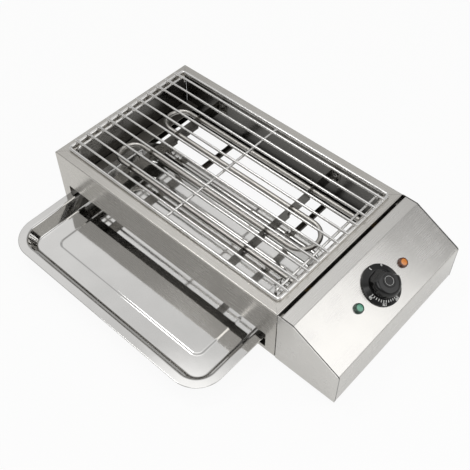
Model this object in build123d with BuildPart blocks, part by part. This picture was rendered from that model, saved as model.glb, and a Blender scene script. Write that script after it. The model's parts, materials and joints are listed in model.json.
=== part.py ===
from build123d import *
import os
from math import atan2, cos, degrees, radians, sin, tan

# Countertop electric grill: an open fire box folded from stainless sheet, a wire grate on its rim,
# a bent tubular heating element, a drip tray pulled half out and a control housing at the right end.
# Millimetres. The origin is on the counter under the middle of the casing. X runs along the length
# towards the control housing, Y to the back and Z up. Levels are measured from the casing's bottom
# edge, and rows from the outer face of the left or the front wall.

os.makedirs("parts", exist_ok=True)

# Clearances
gap = 0.3
weld_gap = 0.1
slip = 0.05
mitre_seam = 0.25
cover_seam = 0.5

# Sheet metal
sheet = 1.0
outer_fold = 2.0
mid_fold = outer_fold - sheet / 2

# Fire box
box_length = 440.0
box_width = 280.0
box_height = 102.0
rim_width = 20.0
lip_depth = 6.0
flange_width = 18.0

# Control housing
vent_gap = 4.7
deck_length = 20.3
cover_fold = 4.5
slope_run = 78.0
face_height = 63.0
cover_flange = 22.0
end_flange = 13.0
end_flange_drop = 12.0

# Feet
foot_height = 5.0
foot_radius = 6.5
foot_row_x = 36.0
foot_row_y = 10.5
foot_hole_radius = 2.1
rivet_radius = 2.0
rivet_head_radius = 3.6
rivet_head = 1.6

# Drip tray and its slot
tray_side_room = 19.0
tray_length = box_length - 2 * (sheet + tray_side_room)
tray_width = 300.0
tray_depth = 20.0
tray_corner = 45.0
tray_sheet = 0.8
tray_flange = 12.5
tray_slope = 11.0
tray_floor_radius = 5.0
tray_mouth_radius = 2.5
hem_width = 5.0
hem_thickness = 1.7
emboss_inset = 27.0
emboss_height = 1.0
emboss_corner = 14.0
emboss_angle = 45.0
tray_pulled_out = 128.0
slot_level = 8.0
slot_head_room = 11.0
slot_height = tray_depth + slot_head_room
slot_side_gap = 3.0
slot_corner = 2.0

# Tray rails and cross rails
rail_margin = 3.0
rail_width = tray_side_room + hem_width + rail_margin
rail_drop = 13.0
cross_rail_width = 8.0
left_cross_rail_row = 122.0
right_cross_rail_inset = 117.0

# Heating element
tube_radius = 4.0
element_level = 61.0
element_setback = 14.0
front_hairpin = 45.0
middle_hairpin = 58.0
rear_hairpin = 49.0
hairpin_turn = 180.0
left_hairpin_inset = 36.5
right_hairpin_inset = 53.0
element_stub = 22.0

# Ferrules and terminals of the element
ferrule_radius = 6.0
ferrule_across = 17.0
ferrule_flange = 6.0
ferrule_reach = 4.5
ferrule_nut_height = 4.0
terminal_radius = 2.0
terminal_length = 16.0
insulator_radius = 4.5
insulator_length = 6.0

# Element brackets and their fixings
left_bracket_row = 80.0
right_bracket_inset = 123.0
bracket_drop = 17.0
bracket_height = 26.0
tab_width = 16.0
tab_corner = 4.0
clip_length = 17.0
clip_height = 6.0
clip_corner = 1.5
stud_offset = 9.0
upper_stud_rise = 22.0
lower_stud_rise = 8.0
stud_radius = 2.0
stud_length = 7.0
nut_across = 7.0
nut_height = 3.2

# Grate
frame_radius = 2.75
frame_seat_x = 6.75
frame_seat_y = 2.0
frame_corner = 5.0
wire_radius = 2.0
wire_overhang = 0.5
wire_margin = 15.75
wire_count = 11
hook_room_x = 4.5
hook_room_y = 6.0
hook_depth = 12.0
hook_bend = 5.0

# Knob and thermostat
knob_gap = 0.8
skirt_radius = 30.0
skirt_edge = 2.0
skirt_height = 5.6
skirt_wall = 4.0
recess_height = 3.0
hub_radius = 7.0
grip_base_radius = 20.5
grip_belly_radius = 22.2
grip_belly_rise = 9.0
grip_top_radius = 18.5
knob_height = 22.0
grip_round = 2.0
full_turn = 360.0
lobe_count = 11
flute_radius = 5.0
flute_depth = 1.6
nose_bearing = 155.0
nose_reach = 23.0
nose_rise = 4.2
nose_flare = 27.0
nose_lean = 29.0
nose_height = 12.0
cap_radius = 9.2
cap_thickness = 1.6
cap_pocket = 1.1
cap_ring_radius = 6.6
cap_ring_width = 0.8
cap_ring_depth = 0.3
shaft_radius = 3.0
shaft_flat = 1.8
shaft_depth = 18.0
shaft_reach = 15.0
bushing_radius = 4.8
thermostat_length = 50.0
thermostat_width = 34.0
thermostat_height = 24.0
thermostat_plate = 1.5
thermostat_margin = 3.0
thermostat_screw_row = 14.0
thermostat_screw_radius = 2.0
thermostat_screw_head_radius = 3.5
thermostat_screw_head = 2.0
thermostat_screw_length = 6.0
blade_length = 8.0
blade_width = 6.3
blade_thickness = 0.8
load_blade_row = 15.0
live_blade_row = 5.0

# Indicator lamps
lamp_row = 50.5
lens_flange_radius = 7.4
lens_flange = 0.9
lens_radius = 6.8
lens_height = 5.0
lens_round = 1.6
lamp_neck_radius = 4.9
lamp_neck_length = 12.0
lamp_body_radius = 6.0
lamp_body_length = 18.0
lamp_nut_across = 14.0
lamp_nut_height = 3.0

# Temperature sensor
bulb_radius = 3.0
bulb_length = 70.0
bulb_standoff = 8.0
bulb_drop = 17.0
bulb_offset = 30.0
bulb_nose = 1.5
capillary_radius = 0.8
capillary_bend = 6.0
capillary_run = 22.0
capillary_drop = 14.0
capillary_port = 12.0
clip_sheet = 0.8
clip_strap = 8.0
clip_tab = 6.0
grommet_radius = 4.5
grommet_neck = 2.6
grommet_lip = 1.5

# Mains connection
shield_setback = 0.5
shield_foot = 14.0
shield_top_gap = 8.0
shield_hole_radius = 9.0
block_length = 44.0
block_width = 18.0
block_height = 17.0
block_corner = 2.0
block_pocket_radius = 3.0
block_pocket_depth = 9.0
block_pitch = 13.0
block_poles = 3
block_row_x = 62.0
block_row_y = 62.0
earth_radius = 2.5
earth_length = 16.0
earth_nut_across = 8.0
earth_nut_height = 4.0
earth_row_x = 40.0
earth_inset = 62.0
gland_row_x = 66.0
gland_level = 26.0
gland_radius = 8.0
gland_bore_radius = 4.25
gland_across = 22.0
gland_flange = 5.0
gland_dome_radius = 9.5
gland_dome = 8.0
gland_reach = 11.0
gland_nut_height = 4.0

# Leads inside the control housing
lead_radius = 1.3
lead_bend = 5.0
lead_drop = 14.0
load_lead_drop = 9.0
load_lead_dip = 17.0
lead_rise = 14.0
lead_row_x = 76.0
earth_lead_row_x = 84.0
lead_level = 22.0
earth_lead_level = 30.0
lead_step = 1.0
rear_lead_run = 44.0

# Housing rivets
lower_rivet_level = 34.0
upper_rivet_drop = 20.0
housing_rivet_row = 7.5

# Places worked out from the sizes above
total_length = box_length + vent_gap + deck_length + slope_run
left_x = -total_length / 2
right_x = left_x + box_length
end_x = total_length / 2
mid_x = left_x + box_length / 2
front_y = -box_width / 2
back_y = box_width / 2
base_z = foot_height
rim_z = base_z + box_height
inner_half_width = box_width / 2 - sheet
floor_sheet_z = base_z + 2 * sheet

# Walls of the fire box: x points into the box, y up and z along the wall
front_wall = Plane(origin=(mid_x, front_y, base_z), x_dir=(0, 1, 0), z_dir=(1, 0, 0))
back_wall = Plane(origin=(mid_x, back_y, base_z), x_dir=(0, -1, 0), z_dir=(-1, 0, 0))
left_wall = Plane(origin=(left_x, 0, base_z), x_dir=(1, 0, 0), z_dir=(0, -1, 0))
right_wall = Plane(origin=(right_x, 0, base_z), x_dir=(-1, 0, 0), z_dir=(0, 1, 0))

# Lengthwise holes are drawn on this plane: x runs to the back, y up and z along the length
cross_section = Plane(origin=(right_x, front_y, base_z), x_dir=(0, 1, 0), z_dir=(1, 0, 0))

# Sloped control panel: x runs down the slope, y to the back and z out of the panel
cover_left_x = right_x + vent_gap
deck_end_x = cover_left_x + deck_length
slope_angle = atan2(box_height - face_height, slope_run)
knob_x = deck_end_x + slope_run / 2
knob_z = base_z + (box_height + face_height) / 2
panel_normal = Vector(0, 0, 1).rotate(Axis.Y, degrees(slope_angle))
down_slope = Vector(1, 0, 0).rotate(Axis.Y, degrees(slope_angle))
panel = Plane(origin=(knob_x, 0, knob_z), x_dir=down_slope, z_dir=panel_normal)
under_panel = panel.offset(-sheet)
knob_axis = Axis(panel.origin, panel.z_dir)
knob_section = Plane(origin=panel.origin, x_dir=down_slope, z_dir=(0, -1, 0))
green_lamp = Plane(origin=(knob_x, -lamp_row, knob_z), x_dir=down_slope, z_dir=panel_normal)
orange_lamp = Plane(origin=(knob_x, lamp_row, knob_z), x_dir=down_slope, z_dir=panel_normal)

# Rows of the element's four legs, front to back, from the front wall
element_depth = front_hairpin + middle_hairpin + rear_hairpin
element_front = box_width / 2 + element_setback - element_depth / 2
leg_rows = (
    element_front,
    element_front + front_hairpin,
    element_front + front_hairpin + middle_hairpin,
    element_front + front_hairpin + middle_hairpin + rear_hairpin,
)
end_leg_rows = (leg_rows[0], leg_rows[-1])
element_z = base_z + element_level

# Brackets and cross rails keep their places from the ends of the fire box
bracket_rows = (left_bracket_row, box_length - right_bracket_inset)
bracket_level = element_level - bracket_drop
stud_levels = (bracket_level + upper_stud_rise, bracket_level + lower_stud_rise)
cross_rail_rows = (left_cross_rail_row, box_length - right_cross_rail_inset)

# The grate lies on the rim, and its hooks hang inside the lip
frame_length = box_length - 2 * (rim_width - frame_seat_x)
frame_width = box_width - 2 * (rim_width - frame_seat_y)
wire_length = frame_length + 2 * (frame_radius + wire_overhang)
wire_pitch = (frame_width - 2 * wire_margin) / (wire_count - 1)
hook_row_x = box_length / 2 - rim_width - hook_room_x
hook_row_y = box_width / 2 - rim_width - hook_room_y

# The sensor bulb lies below the element on the right wall
bulb_level = element_level - bulb_drop
bulb_row = box_width / 2 - bulb_offset
capillary_row = bulb_row + bulb_length + capillary_run

# Feet stand under the flanges of the fire box and of the control housing
foot_spots = [
    (x, y)
    for x in (left_x + foot_row_x, end_x - foot_row_x)
    for y in (front_y + foot_row_y, back_y - foot_row_y)
]

# Housing rivets join the end panels to the right wall
housing_rivet_levels = (lower_rivet_level, box_height - upper_rivet_drop)
housing_rivet_spots = [
    (row, level)
    for row in (housing_rivet_row, box_width - housing_rivet_row)
    for level in housing_rivet_levels
]

# The tray hangs by its hem on the rails, a gap above the slot's lower edge and the cross rails
tray_y = front_y - tray_pulled_out + tray_width / 2
tray_floor_z = base_z + slot_level + gap
tray_top_z = tray_floor_z + tray_depth
rail_level = slot_level + tray_depth - hem_thickness
tray_rim = Plane(origin=(mid_x, tray_y, tray_top_z))
tray_floor = Plane(origin=(mid_x, tray_y, tray_floor_z))


# Folded walls of the fire box


def folded_wall(face, run):
    """Bottom flange, wall, top rim and turned-down lip of one sheet, mitred at both ends."""
    middle = sheet / 2
    with BuildPart() as wall:
        with BuildSketch(face):
            with BuildLine():
                FilletPolyline(
                    (flange_width, middle),
                    (middle, middle),
                    (middle, box_height - middle),
                    (rim_width - middle, box_height - middle),
                    (rim_width - middle, box_height - lip_depth),
                    radius=mid_fold,
                )
            trace(line_width=sheet)
        extrude(amount=run / 2, both=True)
        for end in (face.z_dir, -face.z_dir):
            mitre = Plane(origin=face.origin + end * (run / 2), z_dir=face.x_dir + end)
            split(bisect_by=mitre.offset(-mitre_seam / 2), keep=Keep.BOTTOM)
    return wall.part


def foot_holes():
    """Rivet holes of the feet, as tall as the sheets that they pass."""
    with BuildPart() as holes:
        with BuildSketch(Plane.XY.offset(base_z)):
            with Locations(*foot_spots):
                Circle(foot_hole_radius)
        extrude(amount=2 * sheet)
    return holes.part


foot_drills = foot_holes()
front_sheet = folded_wall(front_wall, box_length)
back_sheet = folded_wall(back_wall, box_length)
left_sheet = folded_wall(left_wall, box_width)
right_sheet = folded_wall(right_wall, box_width)

with BuildPart() as front_panel:
    add(front_sheet)
    with BuildSketch(Plane.XZ.offset(-front_y)):
        with Locations((mid_x, base_z + slot_level + slot_height / 2)):
            RectangleRounded(tray_length + 2 * slot_side_gap, slot_height, slot_corner)
    extrude(amount=-sheet, mode=Mode.SUBTRACT)
    add(foot_drills, mode=Mode.SUBTRACT)
front_panel.part.label = "front_panel"
export_step(front_panel.part, "parts/front_panel.step")

with BuildPart() as back_panel:
    add(back_sheet)
    add(foot_drills, mode=Mode.SUBTRACT)
back_panel.part.label = "back_panel"
export_step(back_panel.part, "parts/back_panel.step")

with BuildPart() as left_panel:
    add(left_sheet)
left_panel.part.label = "left_panel"
export_step(left_panel.part, "parts/left_panel.step")

with BuildPart() as right_panel:
    add(right_sheet)
    with BuildSketch(cross_section):
        with Locations(*[(row, element_level) for row in end_leg_rows]):
            Circle(ferrule_radius + gap)
        with Locations((capillary_row, bulb_level)):
            Circle(grommet_neck)
        with Locations(*housing_rivet_spots):
            Circle(rivet_radius + slip)
    extrude(amount=-sheet, mode=Mode.SUBTRACT)
right_panel.part.label = "right_panel"
export_step(right_panel.part, "parts/right_panel.step")


# Rails


def tray_rail(face):
    """Angle on a side wall, with its flat leg under the tray's hem."""
    upright = sheet + sheet / 2
    flat = rail_level - sheet / 2
    with BuildPart() as rail:
        with BuildSketch(face):
            with BuildLine():
                FilletPolyline(
                    (sheet + rail_width, flat),
                    (upright, flat),
                    (upright, rail_level - rail_drop),
                    radius=mid_fold,
                )
            trace(line_width=sheet)
        extrude(amount=inner_half_width, both=True)
    return rail


left_tray_rail = tray_rail(left_wall)
left_tray_rail.part.label = "left_tray_rail"
export_step(left_tray_rail.part, "parts/left_tray_rail.step")

right_tray_rail = tray_rail(right_wall)
right_tray_rail.part.label = "right_tray_rail"
export_step(right_tray_rail.part, "parts/right_tray_rail.step")


def cross_rail(row):
    """Upturned channel across the open bottom, standing on the front and back flanges."""
    half = (cross_rail_width - sheet) / 2
    top = slot_level - sheet - sheet / 2
    section = Plane(origin=(left_x + row, 0, base_z + sheet), x_dir=(1, 0, 0), z_dir=(0, -1, 0))
    with BuildPart() as rail:
        with BuildSketch(section):
            with BuildLine():
                FilletPolyline((-half, 0), (-half, top), (half, top), (half, 0), radius=mid_fold)
            trace(line_width=sheet)
        extrude(amount=inner_half_width - outer_fold, both=True)
    return rail


left_cross_rail = cross_rail(cross_rail_rows[0])
left_cross_rail.part.label = "left_cross_rail"
export_step(left_cross_rail.part, "parts/left_cross_rail.step")

right_cross_rail = cross_rail(cross_rail_rows[1])
right_cross_rail.part.label = "right_cross_rail"
export_step(right_cross_rail.part, "parts/right_cross_rail.step")


# Element brackets and their fixings


def element_bracket(row):
    """Strip across the fire box with a tab on each wall and notches that drop over the element."""
    x = left_x + row
    tab_x = x + tab_width
    strip_x = x + sheet / 2
    tab_y = inner_half_width - sheet / 2
    notch_radius = tube_radius + gap
    notch_depth = element_level - bracket_level
    with BuildPart() as bracket:
        with BuildSketch(Plane.XY.offset(base_z + bracket_level)):
            with BuildLine():
                FilletPolyline(
                    (tab_x, -tab_y), (strip_x, -tab_y), (strip_x, tab_y), (tab_x, tab_y), radius=mid_fold
                )
            trace(line_width=sheet)
        extrude(amount=bracket_height)
        fillet(bracket.edges().filter_by(Axis.Y).group_by(Axis.X)[-1], tab_corner)
        with BuildSketch(cross_section.offset(x - right_x)):
            with Locations(*[(leg, element_level) for leg in leg_rows]):
                Circle(notch_radius)
            with Locations(*[(leg, element_level - notch_depth / 2) for leg in leg_rows]):
                Rectangle(2 * notch_radius, notch_depth)
        extrude(amount=sheet, mode=Mode.SUBTRACT)
        with BuildSketch(Plane.XZ):
            with Locations(*[(x + stud_offset, base_z + level) for level in stud_levels]):
                Circle(stud_radius + gap)
        extrude(amount=inner_half_width, both=True, mode=Mode.SUBTRACT)
    return bracket


left_element_bracket = element_bracket(bracket_rows[0])
left_element_bracket.part.label = "left_element_bracket"
export_step(left_element_bracket.part, "parts/left_element_bracket.step")

right_element_bracket = element_bracket(bracket_rows[1])
right_element_bracket.part.label = "right_element_bracket"
export_step(right_element_bracket.part, "parts/right_element_bracket.step")

clip_level = element_level - tube_radius - gap - clip_height / 2
stud_spots = [
    (left_x + row + stud_offset, base_z + level) for row in bracket_rows for level in stud_levels
]

with BuildPart() as element_clips:
    for row in bracket_rows:
        clip_x = left_x + row + sheet
        with BuildSketch(cross_section.offset(clip_x - right_x)):
            with Locations(*[(leg, clip_level) for leg in leg_rows]):
                RectangleRounded(clip_length, clip_height, clip_corner)
        extrude(amount=sheet)
element_clips.part.label = "element_clips"
export_step(element_clips.part, "parts/element_clips.step")

with BuildPart() as bracket_studs:
    for wall_y, inward in ((-inner_half_width, -1), (inner_half_width, 1)):
        with BuildSketch(Plane.XZ.offset(-wall_y)):
            with Locations(*stud_spots):
                Circle(stud_radius)
        extrude(amount=inward * stud_length)
bracket_studs.part.label = "bracket_studs"
export_step(bracket_studs.part, "parts/bracket_studs.step")

with BuildPart() as bracket_nuts:
    for tab_y, inward in ((sheet - inner_half_width, -1), (inner_half_width - sheet, 1)):
        with BuildSketch(Plane.XZ.offset(-tab_y)):
            with Locations(*stud_spots):
                RegularPolygon(nut_across / 2, 6, major_radius=False)
                Circle(stud_radius + slip, mode=Mode.SUBTRACT)
        extrude(amount=inward * nut_height)
bracket_nuts.part.label = "bracket_nuts"
export_step(bracket_nuts.part, "parts/bracket_nuts.step")

# Heating element, one tube bent into four legs with its two ends through the right wall

tube_end_x = right_x + element_stub

with BuildPart() as heating_element:
    rear_bend_x = left_x + left_hairpin_inset + rear_hairpin / 2
    middle_bend_x = right_x - right_hairpin_inset - middle_hairpin / 2
    front_bend_x = left_x + left_hairpin_inset + front_hairpin / 2
    with BuildLine(Plane(origin=(0, front_y, element_z))) as route:
        leg_1 = Line((tube_end_x, leg_rows[3]), (rear_bend_x, leg_rows[3]))
        bend_1 = JernArc(leg_1 @ 1, leg_1 % 1, radius=rear_hairpin / 2, arc_size=hairpin_turn)
        leg_2 = Line(bend_1 @ 1, (middle_bend_x, leg_rows[2]))
        bend_2 = JernArc(leg_2 @ 1, leg_2 % 1, radius=middle_hairpin / 2, arc_size=-hairpin_turn)
        leg_3 = Line(bend_2 @ 1, (front_bend_x, leg_rows[1]))
        bend_3 = JernArc(leg_3 @ 1, leg_3 % 1, radius=front_hairpin / 2, arc_size=hairpin_turn)
        leg_4 = Line(bend_3 @ 1, (tube_end_x, leg_rows[0]))
    with BuildSketch(Plane(origin=route.wire() @ 0, z_dir=route.wire() % 0)):
        Circle(tube_radius)
    sweep(path=route.wire())
heating_element.part.label = "heating_element"
export_step(heating_element.part, "parts/heating_element.step")

with BuildPart() as element_ferrules:
    with BuildSketch(cross_section.offset(-sheet)):
        with Locations(*[(row, element_level) for row in end_leg_rows]):
            RegularPolygon(ferrule_across / 2, 6, major_radius=False)
            Circle(tube_radius + slip, mode=Mode.SUBTRACT)
    extrude(amount=-ferrule_flange)
    with BuildSketch(cross_section.offset(-sheet)):
        with Locations(*[(row, element_level) for row in end_leg_rows]):
            Circle(ferrule_radius)
            Circle(tube_radius + slip, mode=Mode.SUBTRACT)
    extrude(amount=sheet + ferrule_reach)
element_ferrules.part.label = "element_ferrules"
export_step(element_ferrules.part, "parts/element_ferrules.step")

with BuildPart() as ferrule_nuts:
    with BuildSketch(cross_section):
        with Locations(*[(row, element_level) for row in end_leg_rows]):
            RegularPolygon(ferrule_across / 2, 6, major_radius=False)
            Circle(ferrule_radius + slip, mode=Mode.SUBTRACT)
    extrude(amount=ferrule_nut_height)
ferrule_nuts.part.label = "ferrule_nuts"
export_step(ferrule_nuts.part, "parts/ferrule_nuts.step")

with BuildPart() as element_terminals:
    with BuildSketch(cross_section.offset(element_stub)):
        with Locations(*[(row, element_level) for row in end_leg_rows]):
            Circle(terminal_radius)
    extrude(amount=terminal_length)
element_terminals.part.label = "element_terminals"
export_step(element_terminals.part, "parts/element_terminals.step")

with BuildPart() as terminal_insulators:
    with BuildSketch(cross_section.offset(element_stub)):
        with Locations(*[(row, element_level) for row in end_leg_rows]):
            Circle(insulator_radius)
            Circle(terminal_radius + slip, mode=Mode.SUBTRACT)
    extrude(amount=insulator_length)
terminal_insulators.part.label = "terminal_insulators"
export_step(terminal_insulators.part, "parts/terminal_insulators.step")

# Wire grate: a frame that lies on the rim, long wires over it and cross bars under the wires

frame_z = rim_z + gap + frame_radius
wire_z = frame_z + frame_radius + weld_gap + wire_radius
crossbar_z = wire_z - 2 * wire_radius - weld_gap

with BuildPart() as grate_frame:
    with BuildLine(Plane(origin=(mid_x, 0, frame_z))) as loop:
        FilletPolyline(
            (frame_length / 2, -frame_width / 2),
            (frame_length / 2, frame_width / 2),
            (-frame_length / 2, frame_width / 2),
            (-frame_length / 2, -frame_width / 2),
            radius=frame_corner,
            close=True,
        )
    with BuildSketch(Plane(origin=loop.wire() @ 0, z_dir=loop.wire() % 0)):
        Circle(frame_radius)
    sweep(path=loop.wire())
grate_frame.part.label = "grate_frame"
export_step(grate_frame.part, "parts/grate_frame.step")

wire_start = Plane(origin=(mid_x - wire_length / 2, 0, wire_z), x_dir=(0, 1, 0), z_dir=(1, 0, 0))

with BuildPart() as grate_wires:
    with BuildSketch(wire_start):
        with GridLocations(wire_pitch, 0, wire_count, 1):
            Circle(wire_radius)
    extrude(amount=wire_length)
grate_wires.part.label = "grate_wires"
export_step(grate_wires.part, "parts/grate_wires.step")

with BuildPart() as grate_crossbars:
    with BuildSketch(Plane.XZ):
        with Locations((mid_x, crossbar_z)):
            Circle(wire_radius)
    extrude(amount=frame_width / 2 - frame_radius - weld_gap, both=True)
    for side in (-1, 1):
        hook_x = mid_x + side * hook_row_x
        with BuildLine(Plane(origin=(hook_x, 0, crossbar_z), x_dir=(0, 1, 0), z_dir=(1, 0, 0))) as hook:
            FilletPolyline(
                (-hook_row_y, -hook_depth),
                (-hook_row_y, 0),
                (hook_row_y, 0),
                (hook_row_y, -hook_depth),
                radius=hook_bend,
            )
        with BuildSketch(Plane(origin=hook.wire() @ 0, z_dir=hook.wire() % 0)):
            Circle(wire_radius)
        sweep(path=hook.wire())
grate_crossbars.part.label = "grate_crossbars"
export_step(grate_crossbars.part, "parts/grate_crossbars.step")

# Drip tray, pressed from one sheet

mouth_length = tray_length - 2 * tray_flange
mouth_width = tray_width - 2 * tray_flange
mouth_corner = tray_corner - tray_flange
floor_length = mouth_length - 2 * tray_slope
floor_width = mouth_width - 2 * tray_slope
floor_corner = mouth_corner - tray_slope
wall_angle = atan2(tray_slope, tray_depth)
wall_skin = tray_sheet / cos(wall_angle)
floor_skin = wall_skin - tray_sheet * tan(wall_angle)
emboss_skin = tray_sheet / sin(radians(emboss_angle))


def pan_block(low, high, floor_rise, edge_radius):
    """Tapered block of the tray's hollow, drawn in by a skin at its floor and one at its mouth."""
    with BuildPart() as block:
        with BuildSketch(tray_floor.offset(floor_rise)):
            RectangleRounded(floor_length - 2 * low, floor_width - 2 * low, floor_corner - low)
        with BuildSketch(tray_rim):
            RectangleRounded(mouth_length - 2 * high, mouth_width - 2 * high, mouth_corner - high)
        loft()
        fillet(block.faces().sort_by(Axis.Z)[0].edges(), edge_radius)
    return block.part


pan_outside = pan_block(0, 0, 0, tray_floor_radius)
pan_inside = pan_block(floor_skin, wall_skin, tray_sheet, tray_floor_radius - tray_sheet)

with BuildPart() as drip_tray:
    with BuildSketch(tray_rim):
        RectangleRounded(tray_length, tray_width, tray_corner)
    extrude(amount=-tray_sheet)
    with BuildSketch(tray_rim):
        RectangleRounded(tray_length, tray_width, tray_corner)
        RectangleRounded(
            tray_length - 2 * hem_width,
            tray_width - 2 * hem_width,
            tray_corner - hem_width,
            mode=Mode.SUBTRACT,
        )
    extrude(amount=-hem_thickness)
    add(pan_outside)
    add(pan_inside, mode=Mode.SUBTRACT)
    mouth_edges = drip_tray.faces().sort_by(Axis.Z)[-1].inner_wires()[0].edges()
    fillet(mouth_edges, tray_mouth_radius)
    with BuildSketch(tray_floor):
        RectangleRounded(floor_length - 2 * emboss_inset, floor_width - 2 * emboss_inset, emboss_corner)
    extrude(amount=emboss_height + tray_sheet, taper=emboss_angle)
    with BuildSketch(tray_floor):
        RectangleRounded(
            floor_length - 2 * (emboss_inset + emboss_skin),
            floor_width - 2 * (emboss_inset + emboss_skin),
            emboss_corner - emboss_skin,
        )
    extrude(amount=emboss_height, taper=emboss_angle, mode=Mode.SUBTRACT)
drip_tray.part.label = "drip_tray"
export_step(drip_tray.part, "parts/drip_tray.step")

# Control housing

cover_corners = [
    (cover_left_x, rim_z),
    (deck_end_x, rim_z),
    (end_x, base_z + face_height),
    (end_x, base_z),
]

with BuildPart() as control_cover:
    with BuildSketch(Plane.XZ):
        with BuildLine():
            FilletPolyline(
                (cover_left_x, rim_z - cover_flange),
                *cover_corners,
                (end_x - flange_width, base_z),
                radius=(outer_fold, cover_fold, cover_fold, outer_fold),
            )
            offset(amount=sheet, side=Side.RIGHT)
        make_face()
    extrude(amount=inner_half_width - cover_seam, both=True)
    with BuildSketch(panel):
        Circle(bushing_radius + gap)
        with Locations((0, thermostat_screw_row), (0, -thermostat_screw_row)):
            Circle(thermostat_screw_radius + gap)
        with Locations((0, lamp_row), (0, -lamp_row)):
            Circle(lamp_neck_radius + gap)
    extrude(amount=-2 * sheet, mode=Mode.SUBTRACT)
control_cover.part.label = "control_cover"
export_step(control_cover.part, "parts/control_cover.step")


def end_panel(side):
    """Flat end of the housing with a flange on the fire box and one along the bottom."""
    outer = Plane.XZ.offset(-side * box_width / 2)
    inner = Plane.XZ.offset(-side * inner_half_width)
    fold_z = base_z + box_height / 2
    bottom_run = end_x - flange_width - gap - right_x
    relief_width = sheet + end_flange - outer_fold
    relief_row = side * (box_width / 2 - outer_fold - relief_width / 2)
    with BuildPart() as end:
        with BuildSketch(outer):
            with BuildLine():
                Polyline((right_x, rim_z), (right_x, base_z), (end_x, base_z))
                FilletPolyline(
                    (end_x, base_z), *reversed(cover_corners[1:3]), (right_x, rim_z), radius=cover_fold
                )
            make_face()
        extrude(amount=side * sheet)
        with BuildSketch(inner):
            with Locations((right_x, base_z)):
                Rectangle(sheet, box_height, align=Align.MIN)
        extrude(amount=side * end_flange)
        fold_inside = Vector(right_x + sheet, side * inner_half_width, fold_z)
        fillet(end.edges().filter_by(Axis.Z).sort_by_distance(fold_inside)[0], outer_fold - sheet)
        fold_outside = Vector(right_x, side * box_width / 2, fold_z)
        fillet(end.edges().filter_by(Axis.Z).sort_by_distance(fold_outside)[0], outer_fold)
        with BuildSketch(inner):
            with Locations((right_x, base_z)):
                Rectangle(bottom_run, sheet, align=Align.MIN)
        extrude(amount=side * (flange_width - sheet))
        with BuildSketch(cross_section):
            with Locations(*housing_rivet_spots):
                Circle(rivet_radius + slip)
            with Locations((box_width / 2 + relief_row, box_height - end_flange_drop / 2)):
                Rectangle(relief_width, end_flange_drop)
        extrude(amount=sheet, mode=Mode.SUBTRACT)
        add(foot_drills, mode=Mode.SUBTRACT)
    return end.part


front_end_sheet = end_panel(-1)
rear_end_sheet = end_panel(1)

with BuildPart() as front_end_panel:
    add(front_end_sheet)
front_end_panel.part.label = "front_end_panel"
export_step(front_end_panel.part, "parts/front_end_panel.step")

gland_x = right_x + gland_row_x
gland_z = base_z + gland_level
gland_face = Plane(origin=(gland_x, back_y, gland_z), x_dir=(-1, 0, 0), z_dir=(0, 1, 0))

with BuildPart() as rear_end_panel:
    add(rear_end_sheet)
    with BuildSketch(gland_face):
        Circle(gland_radius + slip)
    extrude(amount=-sheet, mode=Mode.SUBTRACT)
rear_end_panel.part.label = "rear_end_panel"
export_step(rear_end_panel.part, "parts/rear_end_panel.step")

plate_left_x = right_x + sheet + gap
plate_length = end_x - outer_fold - gap - plate_left_x
plate_width = 2 * (inner_half_width - gap)

with BuildPart() as control_base_plate:
    with BuildSketch(Plane.XY.offset(base_z + sheet)):
        with Locations((plate_left_x + plate_length / 2, 0)):
            Rectangle(plate_length, plate_width)
    extrude(amount=sheet)
    add(foot_drills, mode=Mode.SUBTRACT)
control_base_plate.part.label = "control_base_plate"
export_step(control_base_plate.part, "parts/control_base_plate.step")

shield_x = cover_left_x + sheet + shield_setback + sheet / 2
bulb_x = right_x - sheet - bulb_standoff - bulb_radius

with BuildPart() as heat_shield:
    with BuildSketch(Plane.XZ):
        with BuildLine():
            FilletPolyline(
                (shield_x, rim_z - shield_top_gap),
                (shield_x, floor_sheet_z + sheet / 2),
                (shield_x + shield_foot, floor_sheet_z + sheet / 2),
                radius=mid_fold,
            )
        trace(line_width=sheet)
    extrude(amount=inner_half_width - gap, both=True)
    with BuildSketch(cross_section):
        with Locations(*[(row, element_level) for row in end_leg_rows]):
            Circle(shield_hole_radius)
        with Locations((capillary_row, bulb_level)):
            Circle(grommet_radius)
    extrude(amount=shield_x + sheet - right_x, mode=Mode.SUBTRACT)
heat_shield.part.label = "heat_shield"
export_step(heat_shield.part, "parts/heat_shield.step")

# Thermostat behind the sloped panel, its shaft and the knob

with BuildPart() as thermostat_body:
    with BuildSketch(under_panel):
        RectangleRounded(thermostat_width, thermostat_length, thermostat_margin)
    extrude(amount=-thermostat_plate)
    with BuildSketch(under_panel.offset(-thermostat_plate)):
        RectangleRounded(
            thermostat_width - 2 * thermostat_margin,
            thermostat_length - 2 * thermostat_margin,
            thermostat_margin,
        )
    extrude(amount=-thermostat_height)
    with BuildSketch(under_panel):
        Circle(bushing_radius)
    extrude(amount=sheet)
    with BuildSketch(panel):
        Circle(shaft_radius + slip)
    extrude(amount=-shaft_depth - gap, mode=Mode.SUBTRACT)
    with BuildSketch(under_panel):
        with Locations((0, thermostat_screw_row), (0, -thermostat_screw_row)):
            Circle(thermostat_screw_radius + slip)
    extrude(amount=-thermostat_screw_length, mode=Mode.SUBTRACT)
    with BuildSketch(under_panel.offset(-thermostat_plate - thermostat_height)):
        with Locations((0, -load_blade_row), (0, -live_blade_row)):
            Rectangle(blade_width, blade_thickness)
    extrude(amount=-blade_length)
thermostat_body.part.label = "thermostat_body"
export_step(thermostat_body.part, "parts/thermostat_body.step")

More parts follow.
